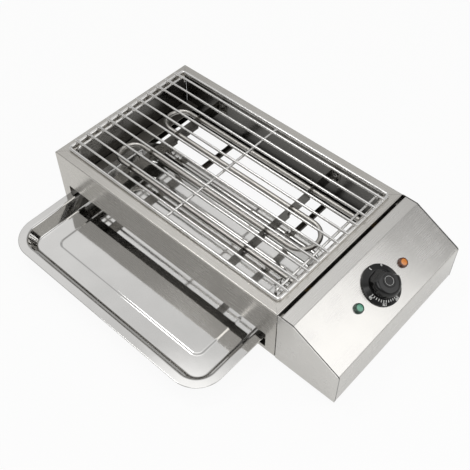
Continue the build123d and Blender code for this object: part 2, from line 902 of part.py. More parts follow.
with BuildPart() as thermostat_screws:
    with BuildSketch(panel):
        with Locations((0, thermostat_screw_row), (0, -thermostat_screw_row)):
            Circle(thermostat_screw_head_radius)
    extrude(amount=thermostat_screw_head)
    with BuildSketch(panel):
        with Locations((0, thermostat_screw_row), (0, -thermostat_screw_row)):
            Circle(thermostat_screw_radius)
    extrude(amount=-thermostat_screw_length)
thermostat_screws.part.label = "thermostat_screws"
export_step(thermostat_screws.part, "parts/thermostat_screws.step")

with BuildPart() as thermostat_shaft:
    with BuildSketch(panel.offset(-shaft_depth)):
        Circle(shaft_radius)
    extrude(amount=shaft_depth)
    with BuildSketch(panel):
        Circle(shaft_radius)
        with Locations((shaft_flat, 0)):
            Rectangle(shaft_radius, 2 * shaft_radius, align=(Align.MIN, Align.CENTER), mode=Mode.SUBTRACT)
    extrude(amount=shaft_reach)
thermostat_shaft.part.label = "thermostat_shaft"
export_step(thermostat_shaft.part, "parts/thermostat_shaft.step")

# Knob: a dial skirt and a scalloped grip with a gabled nose that points at the dial's marks

grip_level = knob_gap + skirt_height
lobe_pitch = full_turn / lobe_count
flute_count = lobe_count - 2
nose_way = Vector(1, 0, 0).rotate(Axis.Z, nose_bearing)
nose_tip = panel.from_local_coords(nose_way * nose_reach) + panel.z_dir * nose_rise


def nose_flank(turn):
    """Leaning plane of one side of the nose, which passes through the nose's tip."""
    outward = panel.x_dir.rotate(knob_axis, nose_bearing + turn)
    across = outward.cross(panel.z_dir)
    return Plane(origin=nose_tip, z_dir=outward.rotate(Axis(panel.origin, across), nose_lean))


with BuildPart() as knob_grip:
    with BuildSketch(knob_section):
        with BuildLine():
            FilletPolyline(
                (grip_base_radius, grip_level),
                (grip_belly_radius, grip_level + grip_belly_rise),
                (grip_top_radius, knob_height),
                (0, knob_height),
                radius=grip_round,
            )
            Polyline(
                (0, knob_height),
                (0, skirt_edge),
                (grip_base_radius, skirt_edge),
                (grip_base_radius, grip_level),
            )
        make_face()
    revolve(axis=knob_axis)
    with BuildSketch(panel.offset(skirt_edge)):
        with PolarLocations(nose_reach / 2, 1, nose_bearing):
            Rectangle(nose_reach, 2 * grip_base_radius * sin(radians(nose_flare)))
    extrude(amount=nose_height)
    for turn in (-nose_flare, nose_flare):
        split(bisect_by=nose_flank(turn), keep=Keep.BOTTOM)
    with BuildSketch(panel.offset(grip_level)):
        with PolarLocations(
            grip_belly_radius + flute_radius - flute_depth,
            flute_count,
            nose_bearing + lobe_pitch + lobe_pitch / 2,
            flute_count * lobe_pitch,
        ):
            Circle(flute_radius)
    extrude(amount=knob_height, mode=Mode.SUBTRACT)

with BuildPart() as control_knob:
    with BuildSketch(knob_section):
        with BuildLine():
            Polyline(
                (0, knob_gap),
                (hub_radius, knob_gap),
                (hub_radius, recess_height),
                (skirt_radius - skirt_wall, recess_height),
                (skirt_radius - skirt_wall, knob_gap),
                (skirt_radius, knob_gap),
                (skirt_radius, knob_gap + skirt_edge),
                (grip_base_radius, grip_level),
                (0, grip_level),
                close=True,
            )
        make_face()
    revolve(axis=knob_axis)
    add(knob_grip.part)
    with BuildSketch(panel.offset(knob_height)):
        Circle(cap_radius + slip)
    extrude(amount=-cap_pocket, mode=Mode.SUBTRACT)
    with BuildSketch(panel):
        Circle(shaft_radius + slip)
        with Locations((shaft_flat + slip, 0)):
            Rectangle(
                shaft_radius, 2 * (shaft_radius + gap), align=(Align.MIN, Align.CENTER), mode=Mode.SUBTRACT
            )
    extrude(amount=shaft_reach + gap, mode=Mode.SUBTRACT)
control_knob.part.label = "control_knob"
export_step(control_knob.part, "parts/control_knob.step")

with BuildPart() as knob_cap:
    with BuildSketch(panel.offset(knob_height - cap_pocket)):
        Circle(cap_radius)
    extrude(amount=cap_thickness)
    chamfer(knob_cap.edges().sort_by(knob_axis)[-1], cap_thickness - cap_pocket)
    with BuildSketch(panel.offset(knob_height - cap_pocket + cap_thickness)):
        Circle(cap_ring_radius)
        Circle(cap_ring_radius - cap_ring_width, mode=Mode.SUBTRACT)
    extrude(amount=-cap_ring_depth, mode=Mode.SUBTRACT)
knob_cap.part.label = "knob_cap"
export_step(knob_cap.part, "parts/knob_cap.step")

# Indicator lamps


def lamp_lens(place):
    """Round lens with a flange on the panel and a softly domed top."""
    with BuildPart() as lens:
        with BuildSketch(place):
            Circle(lens_flange_radius)
        extrude(amount=lens_flange)
        with BuildSketch(place):
            Circle(lens_radius)
        extrude(amount=lens_height)
        fillet(lens.edges().sort_by(Axis(place.origin, place.z_dir))[-1], lens_round)
    return lens


green_lamp_lens = lamp_lens(green_lamp)
green_lamp_lens.part.label = "green_lamp_lens"
export_step(green_lamp_lens.part, "parts/green_lamp_lens.step")

orange_lamp_lens = lamp_lens(orange_lamp)
orange_lamp_lens.part.label = "orange_lamp_lens"
export_step(orange_lamp_lens.part, "parts/orange_lamp_lens.step")

with BuildPart() as lamp_bodies:
    with BuildSketch(panel):
        with Locations((0, lamp_row), (0, -lamp_row)):
            Circle(lamp_neck_radius)
    extrude(amount=-lamp_neck_length)
    with BuildSketch(panel.offset(-lamp_neck_length)):
        with Locations((0, lamp_row), (0, -lamp_row)):
            Circle(lamp_body_radius)
    extrude(amount=-lamp_body_length)
lamp_bodies.part.label = "lamp_bodies"
export_step(lamp_bodies.part, "parts/lamp_bodies.step")

with BuildPart() as lamp_nuts:
    with BuildSketch(under_panel):
        with Locations((0, lamp_row), (0, -lamp_row)):
            RegularPolygon(lamp_nut_across / 2, 6, major_radius=False)
            Circle(lamp_neck_radius + slip, mode=Mode.SUBTRACT)
    extrude(amount=-lamp_nut_height)
lamp_nuts.part.label = "lamp_nuts"
export_step(lamp_nuts.part, "parts/lamp_nuts.step")

# Temperature sensor on the right wall and its capillary to the thermostat

bulb_z = base_z + bulb_level
bulb_start_y = front_y + bulb_row
bulb_end_y = bulb_start_y + bulb_length

with BuildPart() as sensor_bulb:
    with BuildSketch(Plane.XZ.offset(-bulb_start_y)):
        with Locations((bulb_x, bulb_z)):
            Circle(bulb_radius)
    extrude(amount=-bulb_length)
    chamfer(sensor_bulb.edges().filter_by(GeomType.CIRCLE), bulb_nose)
sensor_bulb.part.label = "sensor_bulb"
export_step(sensor_bulb.part, "parts/sensor_bulb.step")

port = under_panel.offset(-thermostat_plate - thermostat_height)
port_point = port.origin + port.y_dir * capillary_port
port_lead = port_point - port.z_dir * capillary_drop
capillary_y = front_y + capillary_row

with BuildPart() as capillary_tube:
    with BuildLine() as route:
        FilletPolyline(
            (bulb_x, bulb_end_y, bulb_z),
            (bulb_x, capillary_y, bulb_z),
            (port_lead.X - capillary_run, capillary_y, bulb_z),
            port_lead,
            port_point,
            radius=capillary_bend,
        )
    with BuildSketch(Plane(origin=route.wire() @ 0, z_dir=route.wire() % 0)):
        Circle(capillary_radius)
    sweep(path=route.wire())
capillary_tube.part.label = "capillary_tube"
export_step(capillary_tube.part, "parts/capillary_tube.step")

with BuildPart() as bulb_clips:
    strap_radius = bulb_radius + slip
    strap_outside = strap_radius + clip_sheet
    wall_x = right_x - sheet
    for row in (bulb_row + bulb_length / 4, bulb_row + bulb_length * 3 / 4):
        with BuildSketch(Plane.XZ.offset(-(front_y + row))):
            with Locations((bulb_x, bulb_z)):
                Circle(strap_outside)
                Rectangle(wall_x - bulb_x, 2 * strap_outside, align=(Align.MIN, Align.CENTER))
            with Locations((wall_x, bulb_z)):
                Rectangle(clip_sheet, 2 * (strap_outside + clip_tab), align=(Align.MAX, Align.CENTER))
            with Locations((bulb_x, bulb_z)):
                Circle(strap_radius, mode=Mode.SUBTRACT)
                Rectangle(
                    wall_x - bulb_x, 2 * strap_radius, align=(Align.MIN, Align.CENTER), mode=Mode.SUBTRACT
                )
        extrude(amount=clip_strap / 2, both=True)
bulb_clips.part.label = "bulb_clips"
export_step(bulb_clips.part, "parts/bulb_clips.step")

with BuildPart() as capillary_grommet:
    with BuildSketch(cross_section.offset(-sheet - grommet_lip)):
        with Locations((capillary_row, bulb_level)):
            Circle(grommet_radius)
    extrude(amount=grommet_lip)
    with BuildSketch(cross_section.offset(-sheet)):
        with Locations((capillary_row, bulb_level)):
            Circle(grommet_neck - slip)
    extrude(amount=sheet)
    with BuildSketch(cross_section):
        with Locations((capillary_row, bulb_level)):
            Circle(grommet_radius)
    extrude(amount=grommet_lip)
    with BuildSketch(cross_section.offset(-sheet - grommet_lip)):
        with Locations((capillary_row, bulb_level)):
            Circle(capillary_radius + slip)
    extrude(amount=sheet + 2 * grommet_lip, mode=Mode.SUBTRACT)
capillary_grommet.part.label = "capillary_grommet"
export_step(capillary_grommet.part, "parts/capillary_grommet.step")

# Mains connection

block_x = right_x + block_row_x
block_y = front_y + block_row_y

with BuildPart() as terminal_block:
    with BuildSketch(Plane.XY.offset(floor_sheet_z)):
        with Locations((block_x, block_y)):
            RectangleRounded(block_width, block_length, block_corner)
    extrude(amount=block_height)
    with BuildSketch(Plane.XY.offset(floor_sheet_z + block_height)):
        with Locations((block_x, block_y)):
            with GridLocations(0, block_pitch, 1, block_poles):
                Circle(block_pocket_radius)
    extrude(amount=-block_pocket_depth, mode=Mode.SUBTRACT)
terminal_block.part.label = "terminal_block"
export_step(terminal_block.part, "parts/terminal_block.step")

earth_spot = (right_x + earth_row_x, back_y - earth_inset)

with BuildPart() as earth_stud:
    with BuildSketch(Plane.XY.offset(floor_sheet_z)):
        with Locations(earth_spot):
            Circle(earth_radius)
    extrude(amount=earth_length)
earth_stud.part.label = "earth_stud"
export_step(earth_stud.part, "parts/earth_stud.step")

with BuildPart() as earth_nuts:
    for level in (0, earth_nut_height + sheet):
        with BuildSketch(Plane.XY.offset(floor_sheet_z + level)):
            with Locations(earth_spot):
                RegularPolygon(earth_nut_across / 2, 6, major_radius=False)
                Circle(earth_radius + slip, mode=Mode.SUBTRACT)
        extrude(amount=earth_nut_height)
earth_nuts.part.label = "earth_nuts"
export_step(earth_nuts.part, "parts/earth_nuts.step")

with BuildPart() as cable_gland:
    with BuildSketch(gland_face):
        RegularPolygon(gland_across / 2, 6, major_radius=False)
    extrude(amount=gland_flange)
    with BuildSketch(gland_face.offset(gland_flange)):
        Circle(gland_dome_radius)
    extrude(amount=gland_dome)
    fillet(cable_gland.edges().sort_by(Axis.Y)[-1], gland_dome / 2)
    with BuildSketch(gland_face):
        Circle(gland_radius)
    extrude(amount=-gland_reach)
    with BuildSketch(gland_face.offset(-gland_reach)):
        Circle(gland_bore_radius)
    extrude(amount=gland_reach + gland_flange + gland_dome, mode=Mode.SUBTRACT)
cable_gland.part.label = "cable_gland"
export_step(cable_gland.part, "parts/cable_gland.step")

with BuildPart() as gland_nut:
    with BuildSketch(gland_face.offset(-sheet)):
        RegularPolygon(gland_across / 2, 6, major_radius=False)
        Circle(gland_radius + slip, mode=Mode.SUBTRACT)
    extrude(amount=-gland_nut_height)
gland_nut.part.label = "gland_nut"
export_step(gland_nut.part, "parts/gland_nut.step")

# Leads from the terminal block to the thermostat, the element and the earth stud

pocket_z = floor_sheet_z + block_height - block_pocket_depth
block_top_z = floor_sheet_z + block_height
blade_end = under_panel.offset(-thermostat_plate - thermostat_height - blade_length)
live_blade = blade_end.origin - blade_end.y_dir * live_blade_row
load_blade = blade_end.origin - blade_end.y_dir * load_blade_row
terminal_x = tube_end_x + terminal_length
front_leg_y = front_y + leg_rows[0]
rear_leg_y = front_y + leg_rows[-1]
lead_routes = (
    (
        (block_x, block_y + block_pitch, pocket_z),
        (block_x, block_y + block_pitch, block_top_z + lead_rise),
        live_blade - blade_end.z_dir * lead_drop,
        live_blade,
    ),
    (
        load_blade,
        load_blade - blade_end.z_dir * load_lead_drop,
        (terminal_x + lead_drop, front_leg_y, element_z - load_lead_dip),
        (terminal_x + lead_drop, front_leg_y, element_z),
        (terminal_x, front_leg_y, element_z),
    ),
    (
        (terminal_x, rear_leg_y, element_z),
        (terminal_x + lead_drop, rear_leg_y, element_z),
        (right_x + lead_row_x, rear_leg_y - rear_lead_run, base_z + lead_level),
        (right_x + lead_row_x, block_y, base_z + lead_level + lead_step),
        (block_x, block_y, block_top_z + lead_drop / 2),
        (block_x, block_y, pocket_z),
    ),
    (
        (block_x, block_y - block_pitch, pocket_z),
        (block_x, block_y - block_pitch, base_z + earth_lead_level),
        (right_x + earth_lead_row_x, block_y, base_z + earth_lead_level),
        (right_x + earth_lead_row_x, earth_spot[1], base_z + earth_lead_level),
        (*earth_spot, base_z + earth_lead_level + lead_step),
        (*earth_spot, floor_sheet_z + earth_length),
    ),
)

with BuildPart() as lead_wires:
    for points in lead_routes:
        with BuildLine() as route:
            FilletPolyline(*points, radius=lead_bend)
        with BuildSketch(Plane(origin=route.wire() @ 0, z_dir=route.wire() % 0)):
            Circle(lead_radius)
        sweep(path=route.wire())
lead_wires.part.label = "lead_wires"
export_step(lead_wires.part, "parts/lead_wires.step")

# Rivets of the housing and rubber feet

with BuildPart() as housing_rivets:
    with BuildSketch(cross_section.offset(-sheet - rivet_head)):
        with Locations(*housing_rivet_spots):
            Circle(rivet_head_radius)
    extrude(amount=rivet_head)
    with BuildSketch(cross_section.offset(-sheet)):
        with Locations(*housing_rivet_spots):
            Circle(rivet_radius)
    extrude(amount=2 * sheet)
    with BuildSketch(cross_section.offset(sheet)):
        with Locations(*housing_rivet_spots):
            Circle(rivet_head_radius)
    extrude(amount=rivet_head)
housing_rivets.part.label = "housing_rivets"
export_step(housing_rivets.part, "parts/housing_rivets.step")

with BuildPart() as rubber_feet:
    with BuildSketch():
        with Locations(*foot_spots):
            Circle(foot_radius)
    extrude(amount=foot_height)
    chamfer(rubber_feet.edges().group_by(Axis.Z)[0], sheet)
    with BuildSketch():
        with Locations(*foot_spots):
            Circle(rivet_head_radius + gap)
    extrude(amount=foot_height / 2, mode=Mode.SUBTRACT)
    with BuildSketch():
        with Locations(*foot_spots):
            Circle(foot_hole_radius)
    extrude(amount=foot_height, mode=Mode.SUBTRACT)
rubber_feet.part.label = "rubber_feet"
export_step(rubber_feet.part, "parts/rubber_feet.step")

with BuildPart() as foot_rivets:
    for x, y in foot_spots:
        sheets = sheet if x < right_x else 2 * sheet
        with BuildSketch(Plane.XY.offset(foot_height / 2)):
            with Locations((x, y)):
                Circle(rivet_head_radius)
        extrude(amount=-rivet_head)
        with BuildSketch(Plane.XY.offset(foot_height / 2)):
            with Locations((x, y)):
                Circle(rivet_radius)
        extrude(amount=foot_height / 2 + sheets)
        with BuildSketch(Plane.XY.offset(foot_height + sheets)):
            with Locations((x, y)):
                Circle(rivet_head_radius)
        extrude(amount=rivet_head)
foot_rivets.part.label = "foot_rivets"
export_step(foot_rivets.part, "parts/foot_rivets.step")
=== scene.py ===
"""Looks of a countertop electric grill: finishes, smooth pressed and drawn surfaces, print and stage."""

import json
import logging
import math
from dataclasses import dataclass, replace
from enum import Enum

import bpy
import numpy as np
from mathutils import Matrix, Vector


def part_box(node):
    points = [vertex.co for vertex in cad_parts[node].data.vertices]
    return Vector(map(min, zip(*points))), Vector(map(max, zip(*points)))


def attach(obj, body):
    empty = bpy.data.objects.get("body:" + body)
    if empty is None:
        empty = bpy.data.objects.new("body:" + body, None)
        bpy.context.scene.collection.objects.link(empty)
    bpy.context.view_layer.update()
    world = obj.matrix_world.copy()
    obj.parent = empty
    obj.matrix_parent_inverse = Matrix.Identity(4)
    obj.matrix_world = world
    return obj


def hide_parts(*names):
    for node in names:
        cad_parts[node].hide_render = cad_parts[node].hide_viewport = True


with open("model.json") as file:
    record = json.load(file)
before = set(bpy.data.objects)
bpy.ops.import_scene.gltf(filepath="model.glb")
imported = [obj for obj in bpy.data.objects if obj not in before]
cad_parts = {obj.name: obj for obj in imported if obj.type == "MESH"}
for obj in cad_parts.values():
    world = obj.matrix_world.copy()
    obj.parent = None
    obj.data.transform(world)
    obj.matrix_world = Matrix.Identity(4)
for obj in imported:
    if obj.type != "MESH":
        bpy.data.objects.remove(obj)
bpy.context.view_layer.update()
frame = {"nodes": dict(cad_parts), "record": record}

MM = 0.001
RADIUS_SHARE = "radius_share"  # Attribute of a lens: the share of its radius at each point
NOISE_RANGE = (0.3, 0.7)  # Where nearly all values of a noise lie
GRAIN_NOISE = {"Scale": 1.0, "Detail": 3.0, "Roughness": 0.6}  # A mapping gives it its real size
BLOTCH_DETAIL = 2.0
SHARP_ANGLE = math.radians(40)  # Faces that meet at more than this keep a crisp edge
DOME = np.radians([85.0, 65.0, 45.0, 22.0, 0.0])  # Latitudes of the rings on a wire's domed end
FLAT_STRIP = 1.5 * MM  # Strip beside a rounded corner that keeps the straight side flat
CURVE_POINTS = 9  # Points of one softened corner
X_AXIS, Y_AXIS, Z_AXIS = np.eye(3)
LOG = logging.getLogger("grill")
Skin = tuple[np.ndarray, list[list[int]]]
Tree = bpy.types.NodeTree
Socket = bpy.types.NodeSocket


def linear(hex_colour: str) -> tuple[float, float, float, float]:
    """Turns an sRGB hex colour into linear red, green, blue and an alpha of 1.

    Args:
        hex_colour: Six hex digits after a hash sign.

    Returns:
        The four linear channels.
    """
    channels = np.array([int(hex_colour[i : i + 2], 16) for i in (1, 3, 5)]) / 255
    low, high = channels / 12.92, ((channels + 0.055) / 1.055) ** 2.4
    return (*np.where(channels <= 0.04045, low, high).tolist(), 1.0)


def toward(bearing: float, height: float) -> Vector:
    """Direction at a bearing from +X towards +Y and a height over the floor, both in degrees."""
    turn, lift = math.radians(bearing), math.radians(height)
    return Vector((math.cos(turn) * math.cos(lift), math.sin(turn) * math.cos(lift), math.sin(lift)))


def add_node(tree: Tree, kind: str, sockets: dict | None = None, out: int | str = 0, **options) -> Socket:
    """Adds one node, sets its options, and fills or links its input sockets.

    Args:
        tree: Node tree that gets the node.
        kind: Blender's name of the node type, without ShaderNode before it.
        sockets: Input names or numbers with a value, or with an output socket to link.
        out: Name or number of the output that is wanted.
        **options: Properties of the node itself.

    Returns:
        That output of the new node.
    """
    node = tree.nodes.new("ShaderNode" + kind)
    for name, value in options.items():
        setattr(node, name, value)
    for key, value in (sockets or {}).items():
        if isinstance(value, Socket):
            tree.links.new(value, node.inputs[key])
        else:
            node.inputs[key].default_value = value
    return node.outputs[out]


def calculated(tree: Tree, operation: str, *values: Socket | float, **options) -> Socket:
    """Adds a Math node with the named operation on the values, in their order."""
    return add_node(tree, "Math", dict(enumerate(values)), operation=operation, **options)


def blend(tree: Tree, share: Socket, first: Socket | tuple, second: Socket | tuple) -> Socket:
    """Mixes two colours, which a Mix node takes at its inputs 6 and 7 and gives at its output 2."""
    return add_node(tree, "Mix", {0: share, 6: first, 7: second}, 2, data_type="RGBA")


class Grain(Enum):
    """Length of one grain along X, Y and Z, in metres; fine brushing is drawn a millimetre wide to show."""

    LENGTHWISE = (90 * MM, 1.1 * MM, 1.1 * MM)
    CROSSWISE = (1.1 * MM, 90 * MM, 1.1 * MM)
    EVEN = (1.5 * MM, 1.5 * MM, 1.5 * MM)
    FINE = (0.6 * MM, 0.6 * MM, 0.6 * MM)


@dataclass(frozen=True)
class Finish:
    """A real surface: its two tones, its gloss and the size of its grain. Lengths are in metres."""

    name: str  # What the material is and how its surface was made
    dark: str  # Darker tone of the grain, sRGB hex
    light: str  # Lighter tone of the grain
    metallic: float = 0.0  # 1 for bare metal, 0 for everything else
    roughness: tuple[float, float] = (0.4, 0.5)  # In the smoothest and in the roughest grain
    grain: Grain = Grain.EVEN  # Direction and size of the grain
    relief: float = 0.01 * MM  # Height of the grain
    blotch: float = 45 * MM  # Size of slow stains, wipe marks and sheet waves
    blotch_gloss: float = 0.03  # How much the blotches change the roughness, up and down
    wave: float = 0.0  # Height of the slow waves
    coat: float = 0.0  # Share of a clear glossy skin

    def material(self) -> bpy.types.Material:
        """Builds the node material once, and gives the same one back after that.

        Grain and blotches are two noises. Their sum mixes the two tones, each of them shifts the
        roughness, and each is raised as relief.

        Returns:
            The material.
        """
        made = bpy.data.materials.get(self.name)
        if made:
            return made
        made = bpy.data.materials.new(self.name)
        made.use_nodes = True
        tree = made.node_tree
        inputs = tree.nodes["Principled BSDF"].inputs
        place = add_node(tree, "TexCoord", out="Object")
        stretch = [1 / size for size in self.grain.value]
        stretched = add_node(tree, "Mapping", {"Vector": place, "Scale": stretch})
        grain = add_node(tree, "TexNoise", {"Vector": stretched, **GRAIN_NOISE})
        spread = {"Vector": place, "Scale": 1 / self.blotch, "Detail": BLOTCH_DETAIL}
        blotch = add_node(tree, "TexNoise", spread)
        low, high = NOISE_RANGE
        both = calculated(tree, "ADD", grain, blotch)
        share = add_node(tree, "MapRange", {"Value": both, "From Min": 2 * low, "From Max": 2 * high})
        colour = blend(tree, share, linear(self.dark), linear(self.light))
        tree.links.new(self.tint(tree, place, colour), inputs["Base Color"])
        smear = (-self.blotch_gloss, self.blotch_gloss)
        shifts = []
        for noise, (least, most) in ((grain, self.roughness), (blotch, smear)):
            ends = {"From Min": low, "From Max": high, "To Min": least, "To Max": most}
            shifts.append(add_node(tree, "MapRange", {"Value": noise, **ends}))
        rough = calculated(tree, "ADD", *shifts, use_clamp=True)
        tree.links.new(rough, inputs["Roughness"])
        bump = add_node(tree, "Bump", {"Height": grain, "Distance": self.relief, "Strength": 1.0})
        if self.wave:
            slow = {"Height": blotch, "Distance": self.wave, "Strength": 1.0, "Normal": bump}
            bump = add_node(tree, "Bump", slow)
        tree.links.new(bump, inputs["Normal"])
        inputs["Metallic"].default_value = self.metallic
        inputs["Coat Weight"].default_value = self.coat
        return made

    def tint(self, tree: Tree, place: Socket, colour: Socket) -> Socket:
        """Changes the colour from place to place; a plain finish keeps it."""
        return colour

    def darkened(self, tree: Tree, colour: Socket, share: Socket | float, where: Socket) -> Socket:
        """Leaves a share of the colour where the mask is 1, and the whole of it where the mask is 0."""
        toned = add_node(tree, "VectorMath", {0: colour, "Scale": share}, operation="SCALE")
        return blend(tree, where, colour, toned)


@dataclass(frozen=True)
class FireBoxSteel(Finish):
    """Wall sheet that is polished outside, with painted shade on its inner faces in place of the dark
    interior that they mirror.
    """

    painted_shade_low: float = 0.09  # Share of the sheet's colour that the painted shade leaves at the bottom of the inner faces
    painted_shade_high: float = 0.36  # The same share under the rim
    skin: float = 0.6 * MM  # Depth of the polished outside

    def tint(self, tree: Tree, place: Socket, colour: Socket) -> Socket:
        """Paints shade on what lies inside the box of the four walls, darker towards the bottom.

        A point is inside where the largest of its three distances from the box's middle, each
        divided by the box's half size, is under 1.

        Args:
            tree: Node tree of the material.
            place: Object coordinates.
            colour: Colour of the grain.

        Returns:
            The colour with its painted shade.
        """
        left_low, left_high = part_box("left_panel")
        low = np.array([left_low.x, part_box("front_panel")[0].y, left_low.z])
        high = np.array([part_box("right_panel")[1].x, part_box("back_panel")[1].y, left_high.z])
        middle, half = (low + high) / 2, (high - low) / 2 - self.skin
        span = {"Vector": place, "Location": (-middle / half).tolist(), "Scale": (1 / half).tolist()}
        unit = add_node(tree, "Mapping", span)
        away = add_node(tree, "VectorMath", {0: unit}, operation="ABSOLUTE")
        apart = add_node(tree, "SeparateXYZ", {0: away}).node.outputs
        across = calculated(tree, "MAXIMUM", apart["X"], apart["Y"])
        largest = calculated(tree, "MAXIMUM", across, apart["Z"])
        inside = calculated(tree, "LESS_THAN", largest, 1.0)
        level = add_node(tree, "SeparateXYZ", {0: place}, "Z")
        fall = {"Value": level, "From Min": low[2], "From Max": high[2]}
        # Painted shade: the inner faces get darker towards the bottom
        left = add_node(tree, "MapRange", fall | {"To Min": self.painted_shade_low, "To Max": self.painted_shade_high})
        return self.darkened(tree, colour, left, inside)


@dataclass(frozen=True)
class SeamedSteel(Finish):
    """Sheet of the control housing, with painted shadow in the seams where the end panels meet the cover."""

    seam: float = 0.7 * MM  # Width of the painted shadow on each side of a seam
    painted_seam_shadow: float = 0.06  # Share of the sheet's colour that the painted shadow leaves in the seam

    def tint(self, tree: Tree, place: Socket, colour: Socket) -> Socket:
        """Paints shadow on what lies close to the plane of the cover's front or back edge.

        Args:
            tree: Node tree of the material.
            place: Object coordinates.
            colour: Colour of the grain.

        Returns:
            The colour with its painted seam shadow.
        """
        row = add_node(tree, "SeparateXYZ", {0: place}, "Y")
        side = calculated(tree, "ABSOLUTE", row)
        near = calculated(tree, "COMPARE", side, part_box("control_cover")[1].y, self.seam)
        # Painted shadow of the seam gap
        return self.darkened(tree, colour, self.painted_seam_shadow, near)


@dataclass(frozen=True)
class LensFinish(Finish):
    """Tinted clear plastic with painted shade that darkens it towards its edge."""

    rim: str = "#000000"  # Colour of the painted shade at the edge, sRGB hex
    clear: float = 0.52  # Share of the radius where the edge starts to darken
    full: float = 0.72  # Share of the radius where it is darkest

    def tint(self, tree: Tree, place: Socket, colour: Socket) -> Socket:
        """Mixes the painted shade's colour in by the lens's own share of its radius.

        Args:
            tree: Node tree of the material.
            place: Object coordinates; not used.
            colour: Colour of the grain.

        Returns:
            The colour from the middle to the edge.
        """
        share = add_node(tree, "Attribute", out="Fac", attribute_name=RADIUS_SHARE)
        edge = {"Value": share, "From Min": self.clear, "From Max": self.full}
        # Painted shade, darker towards the lens's edge
        depth = add_node(tree, "MapRange", edge, interpolation_type="SMOOTHSTEP")
        return blend(tree, depth, colour, linear(self.rim))


# Ferritic stainless sheet, brushed: a warm grey mirror blurred along the grain
WALL_STEEL_X = FireBoxSteel(
    "stainless_sheet_brushed_lengthwise", "#cac7c1", "#d4d1cc", 1.0, (0.23, 0.29),
    Grain.LENGTHWISE, 0.001 * MM,
)
WALL_STEEL_Y = replace(WALL_STEEL_X, name="stainless_sheet_brushed_crosswise", grain=Grain.CROSSWISE)
# The same sheet on the housing: a little paler and smoother, with painted shadow that blackens its seams
COVER_STEEL = SeamedSteel(
    "stainless_cover_brushed", "#d6d4d0", "#dbd9d6", 1.0, (0.24, 0.28), Grain.CROSSWISE, 0.0006 * MM
)
# Cut strip, toned a dark grey by the heat
STRIP_STEEL = Finish("stainless_strip_heat_toned", "#62605c", "#7d7a75", 1.0, (0.2, 0.3))
# Tray rails, dulled by the tray that slides on them
RAIL_STEEL = Finish("stainless_rail_dull", "#b2aea7", "#c9c5be", 1.0, (0.5, 0.6))
# White ink, printed on the dial and a little worn
DIAL_INK = Finish("ink_white_printed", "#e6e6e3", "#f8f8f6", 0.0, (0.5, 0.6), Grain.FINE)
# Tinted clear polycarbonate: bright in the middle, with painted shade at the edge
GREEN_LENS = LensFinish(
    "polycarbonate_green", "#4d9a7d", "#72b69b", 0.0, (0.1, 0.16), coat=0.5, blotch=6 * MM, rim="#173d2e"
)
ORANGE_LENS = replace(
    GREEN_LENS, name="polycarbonate_orange", dark="#d97626", light="#f09c48", rim="#5a2a0c"
)
# Bright nickel plating on drawn wire: clean highlights along its length
WIRE_NICKEL = Finish("wire_nickel_plated", "#dddbd8", "#f7f6f4", 1.0, (0.16, 0.22), Grain.FINE, 0.0004 * MM)
# Thin deep-drawn sheet: nearly a mirror, with slow waves from the press
TRAY_STEEL = Finish(
    "stainless_sheet_pressed", "#d2d1cf", "#dddcda", 1.0, (0.05, 0.08), Grain.FINE, 0.0002 * MM,
    blotch_gloss=0.015, wave=0.08 * MM,
)
# Moulded phenolic resin: deep black with a polished skin
KNOB_BLACK = Finish("phenolic_moulded", "#080808", "#0f0f0e", 0.0, (0.12, 0.17), Grain.FINE, 0.002 * MM)
FINISHES: dict[str, Finish] = {
    "casing_steel": WALL_STEEL_X,
    # Rolled sheet of cross rails, shield and base plate, browned and blackened by fat and heat
    "inner_steel": Finish("stainless_sheet_heat_toned", "#2f2d2a", "#48443f", 1.0, (0.3, 0.42)),
    # Drawn and annealed heating tube: an even satin grey
    "element_sheath": Finish(
        "heating_tube_annealed", "#c9c6c0", "#dcd9d4", 1.0, (0.32, 0.4), Grain.FINE, 0.001 * MM
    ),
    "grate_steel": WIRE_NICKEL,
    "tray_steel": TRAY_STEEL,
    # Zinc plated screws, nuts, rivets and shaft: a cold and slightly cloudy shine
    "fastener_steel": Finish("steel_zinc_plated", "#a9a8a4", "#d6d5d2", 1.0, (0.22, 0.34)),
    # Machined brass of ferrules and earth stud: a soft yellow shine
    "brass_fittings": Finish("brass_machined", "#b08d4f", "#c9a96a", 1.0, (0.22, 0.32)),
    "knob_black": KNOB_BLACK,
    # Moulded disc in the knob: black, with a softer gloss than the knob's
    "cap_black": Finish("abs_moulded_gloss", "#101010", "#181717", 0.0, (0.2, 0.28)),
    "green_lens": GREEN_LENS,
    "orange_lens": ORANGE_LENS,
    # Zinc dipped case of the thermostat, dull and spangled
    "thermostat_case": Finish("steel_galvanised", "#8d9092", "#a9acad", 1.0, (0.4, 0.5)),
    # Fired steatite of the insulators and the terminal block: a chalky cream
    "white_ceramic": Finish("steatite_ceramic", "#d9d4c8", "#ece8df", 0.0, (0.45, 0.6)),
    # Bare drawn copper of bulb and capillary: a warm satin
    "copper_tube": Finish("copper_drawn", "#a8633f", "#c27e57", 1.0, (0.25, 0.35)),
    # Moulded polyamide of gland and lamp holders: a matt black
    "black_plastic": Finish("polyamide_black", "#1b1b1c", "#29292a", 0.0, (0.4, 0.55)),
    # Dull moulded rubber of feet and grommet
    "foot_rubber": Finish("rubber_moulded", "#1d1c1b", "#2b2a29", 0.0, (0.6, 0.75)),
    # Heat-proof silicone skin of the leads: a brick red
    "lead_silicone": Finish("silicone_lead", "#7d241c", "#9a3228", 0.0, (0.4, 0.5)),
}
NODE_FINISHES: dict[str, Finish] = {
    **dict.fromkeys(("left_panel", "right_panel"), WALL_STEEL_Y),
    **dict.fromkeys(("control_cover", "front_end_panel", "rear_end_panel"), COVER_STEEL),
    **dict.fromkeys(("left_element_bracket", "right_element_bracket", "element_clips"), STRIP_STEEL),
    **dict.fromkeys(("left_tray_rail", "right_tray_rail"), RAIL_STEEL),
}


